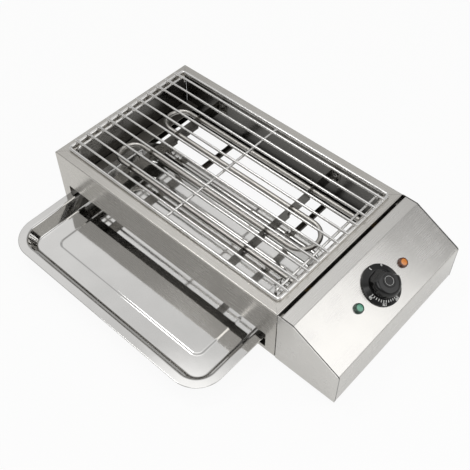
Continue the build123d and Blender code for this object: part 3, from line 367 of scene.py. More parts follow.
def dress_frame() -> None:
    """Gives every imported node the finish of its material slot, or its own one."""
    for part in frame["record"]["subparts"]:
        finish = NODE_FINISHES.get(part["node"], FINISHES[part["material_slot"]])
        mesh = frame["nodes"][part["node"]].data
        mesh.materials.clear()
        mesh.materials.append(finish.material())
        LOG.info("%s: %s", part["node"], finish.name)


def corners_of(node: str) -> tuple[np.ndarray, np.ndarray]:
    """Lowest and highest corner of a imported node, in metres."""
    low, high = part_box(node)
    return np.array(low), np.array(high)


def full_turn(count: int) -> np.ndarray:
    """Evenly spaced angles of one whole turn, in radians."""
    return np.linspace(0, 2 * np.pi, count, endpoint=False)


def arc(start: float, stop: float, count: int) -> np.ndarray:
    """Points of a unit circle from one angle to another, in degrees: cosine and sine, row by row."""
    turns = np.radians(np.linspace(start, stop, count))
    return np.stack([np.cos(turns), np.sin(turns)], -1)


def add_object(name: str, data: bpy.types.ID) -> bpy.types.Object:
    """Makes an object and puts it into the scene.

    Args:
        name: Name of the object.
        data: Its mesh, lamp or camera.

    Returns:
        The new object.
    """
    made = bpy.data.objects.new(name, data)
    bpy.context.scene.collection.objects.link(made)
    return made


def skin(rings: np.ndarray, wrap: bool = False) -> Skin:
    """Joins a stack of closed rings into one closed surface.

    Point k of ring s is joined to point k of ring s + 1. With a wrap the last ring is joined to the
    first, and otherwise each end is closed by one face.

    Args:
        rings: Points, ring by ring, as an array of rings by points by three.
        wrap: Whether the stack closes on itself.

    Returns:
        The points as rows of three, and the faces as lists of point numbers.
    """
    count, around = rings.shape[:2]
    numbers = np.arange(count * around).reshape(count, around)
    here = numbers if wrap else numbers[:-1]
    after = np.roll(numbers, -1, 0) if wrap else numbers[1:]
    quads = np.stack([here, after, np.roll(after, -1, 1), np.roll(here, -1, 1)], -1)
    faces = quads.reshape(-1, 4).tolist()
    if not wrap:
        faces += [numbers[0].tolist(), numbers[-1, ::-1].tolist()]
    return rings.reshape(-1, 3), faces


def make_piece(
    name: str,
    skins: list[Skin],
    finish: Finish,
    body: str,
    replaced: tuple[str, ...] = (),
) -> bpy.types.Object:
    """Makes one object of several closed surfaces and hangs it on a body of the grill.

    Args:
        name: Name of the piece.
        skins: Points and faces of each surface, in metres.
        finish: Its finish.
        body: Body that carries it.
        replaced: Nodes that it stands for.

    Returns:
        The new object.
    """
    starts = np.cumsum([0] + [len(points) for points, _ in skins]).tolist()
    faces = [[number + start for number in face] for start, (_, part) in zip(starts, skins) for face in part]
    mesh = bpy.data.meshes.new(name)
    mesh.from_pydata(np.concatenate([points for points, _ in skins]).tolist(), [], faces)
    mesh.polygons.foreach_set("use_smooth", np.ones(len(faces), bool))
    mesh.set_sharp_from_angle(angle=SHARP_ANGLE)
    mesh.materials.append(finish.material())
    piece = add_object(name, mesh)
    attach(piece, body)
    if replaced:
        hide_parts(*replaced)
    LOG.info("%s: %d faces on %s", name, len(faces), body)
    return piece


def tube(path: np.ndarray, up: np.ndarray, radius: float, sides: int, wrap: bool = False) -> np.ndarray:
    """Rings of a round wire along a flat path, with domed ends unless it closes on itself.

    Each ring is the path's point plus the radius times (cosine times side plus sine times up), where
    the side is the path's direction crossed with up. Over a dome the radius shrinks with the cosine
    of an angle while the point moves out with its sine.

    Args:
        path: Points of the wire's middle line, row by row; the domes end at its first and last point.
        up: Direction square to the path's plane.
        radius: Radius of the wire.
        sides: Points of one ring.
        wrap: Whether the path closes on itself.

    Returns:
        The rings, as an array of rings by sides by three.
    """
    along = np.roll(path, -1, 0) - np.roll(path, 1, 0) if wrap else np.gradient(path, axis=0)
    along /= np.linalg.norm(along, axis=1)[:, None]
    radii = np.full(len(path), radius)
    if not wrap:
        depth = radius * (1 - np.sin(DOME))[:, None]
        path = np.concatenate([path[0] + along[0] * depth, path[1:-1], path[-1] - along[-1] * depth[::-1]])
        along = np.concatenate([along[[0] * len(DOME)], along[1:-1], along[[-1] * len(DOME)]])
        shrunk = radius * np.cos(DOME)
        radii = np.concatenate([shrunk, radii[1:-1], shrunk[::-1]])
    turns = full_turn(sides)
    side = np.cross(along, up)
    wheel = np.cos(turns)[None, :, None] * side[:, None] + np.sin(turns)[None, :, None] * up
    return path[:, None] + radii[:, None, None] * wheel


def rounded_outline(half: np.ndarray, radius: np.ndarray, steps: int) -> np.ndarray:
    """Rounded rectangles about the origin, counter-clockwise, all with the same number of points.

    Each corner is an arc about (half size minus radius), with one more point on the straight side
    before it and one after it, so that flat sides stay flat.

    Args:
        half: Half sizes along X and Y, row by row.
        radius: Corner radius of each row.
        steps: Steps of one corner's arc.

    Returns:
        The points, as an array of rows by points by two.
    """
    turns = np.concatenate([[0], np.linspace(0, np.pi / 2, steps + 1), [np.pi / 2]])
    slide = np.zeros_like(turns)
    slide[[0, -1]] = (-FLAT_STRIP, FLAT_STRIP)
    corners = np.arange(4)[:, None] * np.pi / 2 + turns
    rounding = np.stack([np.cos(corners), np.sin(corners)], -1)
    straight = np.stack([-np.sin(corners), np.cos(corners)], -1) * slide[:, None]
    signs = np.array([(1, 1), (-1, 1), (-1, -1), (1, -1)])
    centres = signs[None, :, None] * (half - radius[:, None])[:, None, None]
    outline = centres + radius[:, None, None, None] * rounding + straight
    return outline.reshape(len(half), -1, 2)


@dataclass(frozen=True)
class PressedTray:
    """Drip tray pressed from thin sheet, with a hemmed flange and a raised floor panel, in metres."""

    corner: float = 45 * MM  # Radius of the flange's corners
    corner_steps: int = 20
    sheet: float = 0.8 * MM  # Thickness
    flange: float = 12.5 * MM  # Width
    wall_run: float = 12 * MM  # How far the wall slopes in on its way down
    mouth_radius: float = 4 * MM  # Radius from the flange into the wall
    floor_radius: float = 5 * MM  # Outer radius from the wall into the floor
    hem_width: float = 5 * MM
    hem_thickness: float = 1.7 * MM
    panel_inset: float = 26 * MM  # From the floor's edge to the raised panel
    panel_height: float = 1.1 * MM
    panel_corner: float = 14 * MM  # Radius of the panel's corners
    panel_run: float = 4.6 * MM  # Width of the step up to the panel
    edge: float = 0.3 * MM  # Width of the strips that keep flat faces flat beside a bend
    bend_points: int = 11  # Points of one bend of the section
    step_points: int = 9  # Points of the step

    @property
    def panel_start(self) -> float:
        """Inset of the step from the flange's edge."""
        return self.flange + self.wall_run + self.panel_inset

    def bend(self, inset: float, level: float, radius: float, start: float, stop: float) -> np.ndarray:
        """Arc about an inset and a level: radius times sine and cosine of the angle from straight up."""
        return arc(start, stop, self.bend_points)[:, ::-1] * radius + (inset, level)

    def step(self, inset: float, floor: float) -> np.ndarray:
        """S-shaped step up to the raised panel: three times the square less twice the cube.

        One more row just inside the panel keeps it a flat mirror.

        Args:
            inset: Where the step starts.
            floor: Level that it rises from.

        Returns:
            Inset and level, row by row.
        """
        share = np.linspace(0, 1, self.step_points)
        rise = self.panel_height * share**2 * (3 - 2 * share)
        rows = np.stack([inset + self.panel_run * share, floor + rise], -1)
        return np.concatenate([rows, rows[-1:] + (self.edge, 0.0)])

    def joined(self, stretches: list[np.ndarray]) -> np.ndarray:
        """Joins stretches of the section, with a point just inside both ends of each flat between them.

        Args:
            stretches: Bends and steps in order.

        Returns:
            Inset and level, row by row.
        """
        rows = [stretches[0]]
        for before, after in zip(stretches, stretches[1:]):
            way = after[0] - before[-1]
            way *= self.edge / np.linalg.norm(way)
            rows += [before[-1:] + way, after[:1] - way, after]
        return np.concatenate(rows)

    def section(self, depth: float) -> np.ndarray:
        """Section of the sheet from the raised panel out to the hem and back along the underside.

        A bend with a negative radius curves the other way.

        Args:
            depth: Depth of the tray.

        Returns:
            Inset from the flange's edge and level over its top, row by row.
        """
        fall = math.degrees(math.atan2(depth, self.wall_run))
        half_bend = math.tan(math.radians(fall / 2))
        wall_top = self.flange + self.sheet * math.hypot(depth, self.wall_run) / depth
        mouth = wall_top - self.mouth_radius * half_bend
        inner_radius = self.floor_radius - self.sheet
        foot = wall_top + (depth - self.sheet) * self.wall_run / depth + inner_radius * half_bend
        foot_level = self.floor_radius - depth
        hem, lip = self.hem_thickness / 2, self.hem_thickness / 4
        top = [
            self.bend(hem, -hem, hem, -180, 0),
            self.bend(mouth, -self.mouth_radius, self.mouth_radius, 0, fall),
            self.bend(foot, foot_level, -inner_radius, fall, 0),
            self.step(self.panel_start, self.sheet - depth),
        ]
        under = [
            self.bend(self.hem_width - lip, lip - self.hem_thickness, lip, 180, 90),
            np.array([[self.hem_width, -self.sheet]]),
            self.bend(mouth, -self.mouth_radius, self.mouth_radius - self.sheet, 0, fall),
            self.bend(foot, foot_level, -self.floor_radius, fall, 0),
            self.step(self.panel_start + self.sheet / 2, -depth),
        ]
        return np.concatenate([self.joined(top)[::-1], self.joined(under)])

    def build(self) -> None:
        """Carries the section round the tray's rounded rectangle and dresses it."""
        low, high = corners_of("drip_tray")
        inset, level = self.section(high[2] - low[2]).T
        outer, inner = self.corner - inset, self.panel_corner + self.panel_start - inset
        radius = np.where(inset < self.panel_start - 2 * self.edge, outer, inner)
        half = (high - low)[:2] / 2 - inset[:, None]
        outline = rounded_outline(half, radius, self.corner_steps) + (low + high)[:2] / 2
        heights = np.broadcast_to((high[2] + level)[:, None, None], outline.shape[:2] + (1,))
        rings = np.concatenate([outline, heights], -1)
        make_piece("pressed_tray", [skin(rings)], TRAY_STEEL, "tray", ("drip_tray",))


@dataclass(frozen=True)
class SlotFold:
    """Edge of the front wall over the tray's slot, folded inwards; the tray mirrors it as a dark band."""

    slot_top: float = 39 * MM  # From the wall's lower edge to the slot's upper edge
    width: float = 12 * MM
    sheet: float = 1 * MM  # Thickness
    tip_points: int = 9  # Points of the round edge

    def build(self) -> None:
        """Carries a strip with a round edge along the slot, over the whole length of the tray."""
        wall_low = corners_of("front_panel")[0]
        ends = np.stack(corners_of("drip_tray"))[:, 0]
        half = self.sheet / 2
        tip = arc(90, -90, self.tip_points) * half + (self.width - half, half)
        section = np.concatenate([[[0.0, 0.0], [0.0, self.sheet]], tip])
        section += (wall_low[1] + self.sheet, wall_low[2] + self.slot_top)
        rings = np.stack([np.column_stack([np.full(len(section), x), section]) for x in ends])
        make_piece("slot_fold", [skin(rings)], WALL_STEEL_X, "casing")


@dataclass(frozen=True)
class WireGrate:
    """Welded grate: a frame rod, long wires over it, a cross bar and two hooked bars under them."""

    wires: int = 11  # Number of long wires
    frame_corner: float = 5 * MM  # Bend radius of the frame's corners
    hook_row: float = 114 * MM  # From the middle to the hooks' straight ends, along Y
    hook_bend: float = 5 * MM  # Bend radius of the hooks
    bend_steps: int = 10
    sides: int = 24  # Points round a wire
    run_points: int = 9  # Points along a straight wire
    bead: tuple[float, float, float] = (2.4 * MM, 2.4 * MM, 0.8 * MM)  # Half sizes of a weld bead
    bead_rings: int = 9
    bead_sides: int = 16  # Points of one of its rings
    bead_cap: float = 85.0  # Latitude of its first ring, in degrees

    def build(self) -> None:
        """Makes the frame, the wires, the bars under them and the weld beads where they cross."""
        frame_low, frame_high = corners_of("grate_frame")
        wire_low, wire_high = corners_of("grate_wires")
        bar_low, bar_high = corners_of("grate_crossbars")
        rod, wire = (frame_high - frame_low)[2] / 2, (wire_high - wire_low)[2] / 2
        middle = (frame_low + frame_high) / 2
        rows = np.linspace(wire_low[1] + wire, wire_high[1] - wire, self.wires)
        hooks = [bar_low[0] + wire, bar_high[0] - wire]
        wire_level, bar_level = wire_low[2] + wire, bar_high[2] - wire
        loop = self.rod_loop(middle, (frame_high - frame_low)[:2] / 2 - rod, rod)
        self.finish("grate_rod", [loop], "grate_frame")
        runs = [[(x, row, wire_level) for x in (wire_low[0], wire_high[0])] for row in rows]
        self.finish("grate_long_wires", [self.straight(run, wire) for run in runs], "grate_wires")
        bars = [self.hooked(x, bar_level, bar_low[2], wire) for x in hooks]
        bars.append(self.straight([(middle[0], y, bar_level) for y in (bar_low[1], bar_high[1])], wire))
        self.finish("grate_bars", bars, "grate_crossbars")
        posts = [frame_low[0] + rod, *hooks, middle[0], frame_high[0] - rod]
        spots = np.stack(np.meshgrid(posts, rows, wire_low[2]), -1).reshape(-1, 3)
        self.finish("grate_welds", [self.weld(spot) for spot in spots])

    def finish(self, name: str, skins: list[Skin], *replaced: str) -> None:
        """Dresses one set of wires and hangs it on the grate, in place of the named nodes."""
        make_piece(name, skins, WIRE_NICKEL, "grate", replaced)

    def rod_loop(self, middle: np.ndarray, half: np.ndarray, radius: float) -> Skin:
        """Closed frame rod: a circle carried along a rounded rectangle.

        Args:
            middle: Middle of the frame.
            half: Half sizes of its middle line along X and Y.
            radius: Radius of the rod.

        Returns:
            Its surface.
        """
        loop = rounded_outline(half[None], np.array([self.frame_corner]), self.bend_steps)[0]
        path = np.column_stack([loop, np.zeros(len(loop))]) + middle
        return skin(tube(path, Z_AXIS, radius, self.sides, wrap=True), wrap=True)

    def straight(self, ends: list[tuple], radius: float) -> Skin:
        """Straight wire with domed ends, from the first point to the last."""
        return skin(tube(np.linspace(*ends, self.run_points), Z_AXIS, radius, self.sides))

    def hooked(self, x: float, level: float, foot: float, radius: float) -> Skin:
        """Bar along Y whose ends are bent down: quarter circles join the three straight lengths.

        Args:
            x: Row of the bar.
            level: Level of its middle line.
            foot: Level of its lower ends.
            radius: Radius of the bar.

        Returns:
            Its surface.
        """
        bend = arc(180, 90, self.bend_steps) * self.hook_bend
        bend += (self.hook_bend - self.hook_row, level - self.hook_bend)
        leg = np.array([[-self.hook_row, foot], [-self.hook_row, (foot + level - self.hook_bend) / 2]])
        half = np.concatenate([leg, bend, [[0.0, level]]])
        line = np.concatenate([half, half[-2::-1] * (-1, 1)])
        path = np.column_stack([np.full(len(line), x), line])
        return skin(tube(path, X_AXIS, radius, self.sides))

    def weld(self, spot: np.ndarray) -> Skin:
        """Weld bead: an ellipsoid, whose rings shrink with the cosine of the height's angle.

        Args:
            spot: Its middle, between two crossing wires.

        Returns:
            Its surface.
        """
        heights = np.radians(np.linspace(self.bead_cap, -self.bead_cap, self.bead_rings))[:, None]
        turns = full_turn(self.bead_sides)
        flat = [np.cos(heights) * np.cos(turns), np.cos(heights) * np.sin(turns)]
        return skin(spot + np.stack([*flat, np.sin(heights) + 0 * turns], -1) * self.bead)


def wheel_grid(rows: np.ndarray, count: int) -> tuple[np.ndarray, np.ndarray, np.ndarray]:
    """Turns a section about an axis: every row of it at every angle of a whole turn.

    Args:
        rows: Reach from the axis and height, row by row.
        count: Number of angles.

    Returns:
        Angles, reaches and heights, each as an array of rows by angles.
    """
    turn, reach = np.meshgrid(full_turn(count), rows[:, 0])
    return turn, reach, rows[:, 1:] + 0 * turn


@dataclass(frozen=True)
class ControlPanel:
    """Sloped panel with its own axes: down the slope, along Y and square to the sheet."""

    middle: np.ndarray  # Where the knob's axis meets the panel, in metres
    normal: np.ndarray  # Direction of the knob's axis

    @classmethod
    def of_frame(cls) -> "ControlPanel":
        """Finds the panel by the joint of the knob.

        Returns:
            The panel.
        """
        joints = frame["record"]["behaviour"]["joints"]
        joint = next(joint for joint in joints if joint["child"] == "knob")
        return cls(np.array(joint["pos_m"]), np.array(joint["axis"]))

    def place(self, turn: np.ndarray, reach: np.ndarray, lift: np.ndarray, row: float = 0.0) -> np.ndarray:
        """Turns polar places on the panel into points.

        Args:
            turn: Angle from the way down the slope towards +Y, in radians.
            reach: Distance from the middle, in metres.
            lift: Height over the sheet.
            row: Shift of the middle along Y.

        Returns:
            The points.
        """
        down = np.cross(Y_AXIS, self.normal)
        flat = np.cos(turn)[..., None] * down + np.sin(turn)[..., None] * Y_AXIS
        return self.middle + row * Y_AXIS + reach[..., None] * flat + lift[..., None] * self.normal


@dataclass(frozen=True)
class LampLens:
    """Indicator lens: a flange on the panel, a round side and a low dome, in metres."""

    panel: ControlPanel
    colour: str
    flange_radius: float = 7.4 * MM
    flange: float = 0.9 * MM  # Height of the flange
    crisp: float = 0.2 * MM  # Rounding of the flange's edge
    radius: float = 6.8 * MM  # Radius of the lens
    height: float = 4.6 * MM  # Height of its edge
    round: float = 1.2 * MM  # Radius of its upper edge
    dome: float = 0.4 * MM  # Rise of the dome
    pole: float = 0.02  # Share of the dome that one face closes
    dome_points: int = 14  # Points from the pole to the edge
    edge_points: int = 9  # Points over the upper edge
    sides: int = 64  # Points round the lens

    def build(self) -> None:
        """Turns the section about the lens's axis and notes each point's share of the radius.

        The dome falls with the square of the share of its radius, and its edge is a quarter circle.
        """
        node, slot = f"{self.colour}_lamp_lens", f"{self.colour}_lens"
        shares = np.linspace(self.pole, 1, self.dome_points)
        rise = self.height + self.dome * (1 - shares**2)
        edge = arc(90, 0, self.edge_points)[1:] * self.round
        edge += (self.radius - self.round, self.height - self.round)
        foot = [
            (self.radius, self.flange),
            (self.flange_radius - self.crisp, self.flange),
            (self.flange_radius, self.flange - self.crisp),
            (self.flange_radius, 0.0),
        ]
        dome = np.stack([(self.radius - self.round) * shares, rise], -1)
        turn, reach, lift = wheel_grid(np.concatenate([dome, edge, foot]), self.sides)
        low, high = corners_of(node)
        rings = self.panel.place(turn, reach, lift, (low + high)[1] / 2)
        name = f"{self.colour}_lens_clear"
        piece = make_piece(name, [skin(rings)], FINISHES[slot], "casing", (node,))
        share = piece.data.attributes.new(RADIUS_SHARE, "FLOAT", "POINT")
        share.data.foreach_set("value", (reach / self.flange_radius).ravel())


def softened(points: list[tuple[float, float]], cuts: list[float], count: int) -> np.ndarray:
    """Rounds the corners of a flat outline and spaces its points evenly.

    A corner becomes a curve of the second degree from a cut's length before it to a cut's length
    after it: (1 - t) squared times the start, 2t(1 - t) times the corner, t squared times the end.

    Args:
        points: Ends and corners of the outline, row by row.
        cuts: Length that is cut at each corner.
        count: Number of points of the result.

    Returns:
        The rounded outline, row by row.
    """
    outline = np.array(points)
    ways = np.diff(outline, axis=0)
    ways /= np.linalg.norm(ways, axis=1)[:, None]
    corner, cut = outline[1:-1, None], np.array(cuts)[:, None, None]
    start, stop = corner - cut * ways[:-1, None], corner + cut * ways[1:, None]
    share = np.linspace(0, 1, CURVE_POINTS)[:, None]
    bends = (1 - share) ** 2 * start + 2 * share * (1 - share) * corner + share**2 * stop
    line = np.concatenate([outline[:1], bends.reshape(-1, 2), outline[-1:]])
    run = np.append(0, np.cumsum(np.linalg.norm(np.diff(line, axis=0), axis=1)))
    even = np.linspace(0, run[-1], count)
    return np.stack([np.interp(even, run, column) for column in line.T], -1)


@dataclass(frozen=True)
class DialKnob:
    """Moulded knob: a sloping dial skirt, and a fluted grip with a nose of two leaning faces.

    Lengths are in metres, angles in degrees, and heights are over the panel.
    """

    panel: ControlPanel
    gap: float = 0.8 * MM  # Height of the knob's lower edge
    skirt_radius: float = 30 * MM  # Outer radius of the sloping skirt
    skirt_low: float = 2.8 * MM  # Height of the skirt there
    skirt_edge: float = 0.7 * MM  # Rounding of the skirt's edge
    grip_radius: float = 20.5 * MM  # Inner radius of the skirt, at the grip
    skirt_high: float = 6.4 * MM  # Height of the skirt there
    groove_width: float = 1.1 * MM  # Width of the groove round the foot of the grip
    groove_depth: float = 1.2 * MM
    belly_radius: float = 22.2 * MM  # Largest radius of the grip
    belly_level: float = 15 * MM  # Height where it has that radius
    belly_round: float = 3 * MM  # Rounding of the belly
    top_radius: float = 18.6 * MM  # Radius of the grip's top, before its edge is rounded
    top_level: float = 22 * MM  # Height of the top
    top_round: float = 4.4 * MM  # Rounding of the top's edge
    pocket_radius: float = 9.4 * MM  # Radius of the pocket for the cap
    pocket_depth: float = 1.1 * MM
    bore_radius: float = 3.3 * MM  # Radius of the bore for the shaft
    bore_level: float = 15.3 * MM  # Height of the bore's end
    crisp: float = 0.2 * MM  # Rounding of small edges
    lobes: int = 11  # Number of lobes that the flutes would leave if the nose had none
    flute_radius: float = 5 * MM
    flute_depth: float = 1.6 * MM  # Depth of a flute at the belly
    nose_bearing: float = 155.0  # Direction of the nose
    nose_flare: float = 27.0  # Angle between the nose and each of its faces
    nose_lean: float = 29.0  # How far the faces lean back
    nose_reach: float = 23 * MM  # Reach of the nose's tip
    nose_rise: float = 4.2 * MM  # Height of the tip
    soft: float = 0.15 * MM  # Rounding where faces and flutes cut the grip
    least_cosine: float = 0.2  # Keeps the reach of a face finite behind the grip
    grip_points: int = 110  # Points of the grip's section
    skirt_points: int = 150  # Points of the skirt's section
    lobe_points: int = 24  # Points round one lobe

    def skirt_level(self, reach: np.ndarray | float) -> np.ndarray | float:
        """Height of the skirt, which rises evenly from its outer to its inner radius."""
        rise = (self.skirt_high - self.skirt_low) / (self.skirt_radius - self.grip_radius)
        return self.skirt_low + (self.skirt_radius - reach) * rise

    def grip_rows(self) -> np.ndarray:
        """Section of the grip from the cap's pocket over the belly down into the groove.

        Returns:
            Reach and height, row by row.
        """
        floor = self.top_level - self.pocket_depth
        points = [
            (self.crisp, floor),
            (self.pocket_radius, floor),
            (self.pocket_radius, self.top_level),
            (self.top_radius, self.top_level),
            (self.belly_radius, self.belly_level),
            (self.grip_radius, self.skirt_high - self.groove_depth),
        ]
        cuts = [self.crisp, self.crisp, self.top_round, self.belly_round]
        return softened(points, cuts, self.grip_points)

    def skirt_rows(self) -> np.ndarray:
        """Section of the skirt from the groove to its edge, and along its underside into the bore.

        Returns:
            Reach and height, row by row.
        """
        groove = self.grip_radius + self.groove_width
        points = [
            (groove, self.skirt_high - self.groove_depth),
            (groove, self.skirt_level(groove)),
            (self.skirt_radius, self.skirt_low),
            (self.skirt_radius, self.gap),
            (self.bore_radius, self.gap),
            (self.bore_radius, self.bore_level),
            (self.crisp, self.bore_level),
        ]
        cuts = [self.crisp, self.skirt_edge, self.crisp, self.crisp, self.crisp]
        return softened(points, cuts, self.skirt_points)

    def cut(self, turn: np.ndarray, reach: np.ndarray, lift: np.ndarray) -> np.ndarray:
        """Reach of the grip where the nose's faces and the flutes cut it.

        A face of the nose is a leaning plane: the reach of its tip, less the rise over the tip times
        the tangent of the lean, over the cosine of the angle from the face's middle. A flute is a
        circle about a place outside the grip. The smallest reach rules, softened: minus the rounding
        times the logarithm of the sum of exp(minus reach over rounding).

        Args:
            turn: Angles, in radians.
            reach: Uncut reach.
            lift: Heights over the panel.

        Returns:
            The cut reach.
        """
        away = turn - math.radians(self.nose_bearing)
        flare = math.radians(self.nose_flare)
        lean = math.tan(math.radians(self.nose_lean))
        plane = self.nose_reach * math.cos(flare) - (lift - self.nose_rise) * lean
        faces = [plane / np.maximum(np.cos(away - side), self.least_cosine) for side in (-flare, flare)]
        lobe = away * self.lobes / (2 * np.pi) % self.lobes
        offset = (lobe % 1 - 0.5) * 2 * np.pi / self.lobes
        centre = self.belly_radius + self.flute_radius - self.flute_depth
        half_chord = np.sqrt(np.maximum(self.flute_radius**2 - (centre * np.sin(offset)) ** 2, 0))
        fluted = (lobe > 1) & (lobe < self.lobes - 1)
        flute = np.where(fluted, centre * np.cos(offset) - half_chord, 2 * centre)
        reaches = np.stack([reach, *faces, flute])
        return -self.soft * np.log(np.exp(-reaches / self.soft).sum(0))

    def build(self) -> None:
        """Turns both sections about the knob's axis and cuts the grip."""
        around = self.lobe_points * self.lobes
        turn, reach, lift = wheel_grid(self.grip_rows(), around)
        grip = self.panel.place(turn, self.cut(turn, reach, lift), lift)
        skirt = self.panel.place(*wheel_grid(self.skirt_rows(), around))
        rings = np.concatenate([grip, skirt])
        make_piece("dial_knob", [skin(rings)], KNOB_BLACK, "knob", ("control_knob",))


@dataclass(frozen=True)
class DialPrint:
    """White scale on the knob's skirt: ticks, three temperatures, a nought and its long tick.

    Lengths are in metres and angles in degrees. A reach is an inner and an outer radius.
    """

    knob: DialKnob
    first_tick: float = -90.0  # Angle
    last_tick: float = 8.0
    ticks: int = 12
    tick_reach: tuple[float, float] = (22.2 * MM, 25.4 * MM)
    nought_tick: float = 175.5  # Angle of the long tick
    nought_reach: tuple[float, float] = (24 * MM, 28 * MM)
    tick_width: float = 1 * MM
    numbers: tuple[tuple[str, float], ...] = (("50", -88.0), ("175", -41.0), ("300", 6.0), ("0", 134.0))
    number_reach: float = 27.3 * MM  # Radius of the numbers' middles
    number_size: float = 4.6 * MM  # Height of the lettering
    number_weight: float = 0.12 * MM  # How much its strokes are thickened
    ink: float = 0.12 * MM  # Height of the ink over the skirt
    ring_reach: tuple[float, float] = (6.25 * MM, 6.95 * MM)  # Painted ring in the cap's groove
    ring_level: tuple[float, float] = (22.2 * MM, 22.4 * MM)  # Lower and upper level of its paint
    ring_points: int = 72  # Points round the ring

    def on_skirt(self, turn: np.ndarray, reach: np.ndarray, lift: np.ndarray) -> np.ndarray:
        """Points over the knob's skirt, by their angle in radians, their reach and their height over it."""
        return self.knob.panel.place(turn, reach, self.knob.skirt_level(reach) + lift)

    def tick(self, angle: float, reach: tuple[float, float]) -> Skin:
        """Flat bar of ink along a radius: a small rectangle at its inner end and one at its outer end.

        Args:
            angle: Its angle, in degrees.
            reach: Inner and outer radius.

        Returns:
            Its surface.
        """
        sides = np.array([-1.0, -1.0, 1.0, 1.0]) * self.tick_width / 2
        lifts = np.array([-1.0, 1.0, 1.0, -1.0]) * self.ink
        reaches = np.array(reach)[:, None] + np.zeros(4)
        return skin(self.on_skirt(math.radians(angle) + sides / reaches, reaches, lifts + 0 * reaches))

    def ring(self) -> Skin:
        """Flat ring of paint: a small rectangle carried round the knob's axis.

        Returns:
            Its surface.
        """
        inner, outer = self.ring_reach
        low, high = self.ring_level
        turns = full_turn(self.ring_points)[:, None] + np.zeros(4)
        reaches = np.array([outer, outer, inner, inner]) + 0 * turns
        lifts = np.array([low, high, high, low]) + 0 * turns
        return skin(self.knob.panel.place(turns, reaches, lifts), wrap=True)

    def number(self, text: str, angle: float) -> Skin:
        """Lettering made a mesh and bent round the dial: X runs against the angle, Y outwards.

        Args:
            text: The number.
            angle: Angle of its middle, in degrees.

        Returns:
            Its surface.
        """
        curve = bpy.data.curves.new("number", "FONT")
        curve.body, curve.size, curve.extrude = text, self.number_size, self.ink
        curve.align_x, curve.align_y, curve.offset = "CENTER", "CENTER", self.number_weight
        letter = bpy.data.objects.new("number", curve)
        mesh = bpy.data.meshes.new_from_object(letter)
        flat = np.empty(len(mesh.vertices) * 3)
        mesh.vertices.foreach_get("co", flat)
        faces = [list(face.vertices) for face in mesh.polygons]
        bpy.data.objects.remove(letter)
        bpy.data.meshes.remove(mesh)
        bpy.data.curves.remove(curve)
        x, y, z = flat.reshape(-1, 3).T
        turn = math.radians(angle) - x / self.number_reach
        return self.on_skirt(turn, self.number_reach + y, z), faces

    def build(self) -> None:
        """Makes the whole print as one piece on the knob."""
        angles = np.linspace(self.first_tick, self.last_tick, self.ticks)
        skins = [self.tick(angle, self.tick_reach) for angle in angles]
        skins += [self.tick(self.nought_tick, self.nought_reach), self.ring()]
        skins += [self.number(text, angle) for text, angle in self.numbers]
        make_piece("dial_print", skins, DIAL_INK, "knob")


@dataclass(frozen=True)
class PhotoCamera:
    """Camera at the photograph's place: it looks at the target from an azimuth and an elevation."""

    azimuth: float = 42.44  # Turn about the vertical, in degrees; 0 looks along +Y
    elevation: float = 50.81  # Height above the horizon, in degrees
    roll: float = -0.28  # Turn about the viewing line, in degrees
    lens: float = 58.57  # Focal length for a sensor 36 mm wide, in millimetres
    distance: float = 1.184  # From the target to the eye, in metres
    target: tuple[float, float, float] = (-15.9 * MM, -16.8 * MM, 5 * MM)  # Middle of the picture

    def build(self) -> None:
        """Makes the camera; its axes are right, up and back, turned by the roll."""
        back, level = toward(self.azimuth - 90, self.elevation), toward(self.azimuth, 0)
        upright = back.cross(level)
        roll = math.radians(self.roll)
        right = level * math.cos(roll) + upright * math.sin(roll)
        up = upright * math.cos(roll) - level * math.sin(roll)
        data = bpy.data.cameras.new("photo_camera")
        data.lens = self.lens
        camera = add_object("photo_camera", data)
        axes = Matrix((right, up, back)).transposed().to_4x4()
        camera.matrix_world = Matrix.Translation(Vector(self.target) + back * self.distance) @ axes
        bpy.context.scene.camera = camera


@dataclass(frozen=True)
class SoftBox:
    """A square area lamp that points at the grill."""

    name: str
    bearing: float  # Direction from the grill, in degrees from +X towards +Y
    height: float  # Angle above the floor, in degrees
    distance: float  # From the grill's middle, in metres
    side: float  # Side of the lamp, in metres
    radiance: float  # Brightness of its face, where 1 is white

    def build(self) -> None:
        """Makes the lamp; its power is pi times its area times its radiance."""
        away = toward(self.bearing, self.height)
        data = bpy.data.lights.new(self.name, "AREA")
        data.shape = "SQUARE"
        data.size = self.side
        data.energy = math.pi * self.side**2 * self.radiance
        lamp = add_object(self.name, data)
        lamp.location = away * self.distance
        lamp.rotation_mode = "QUATERNION"
        lamp.rotation_quaternion = away.to_track_quat("Z", "Y")


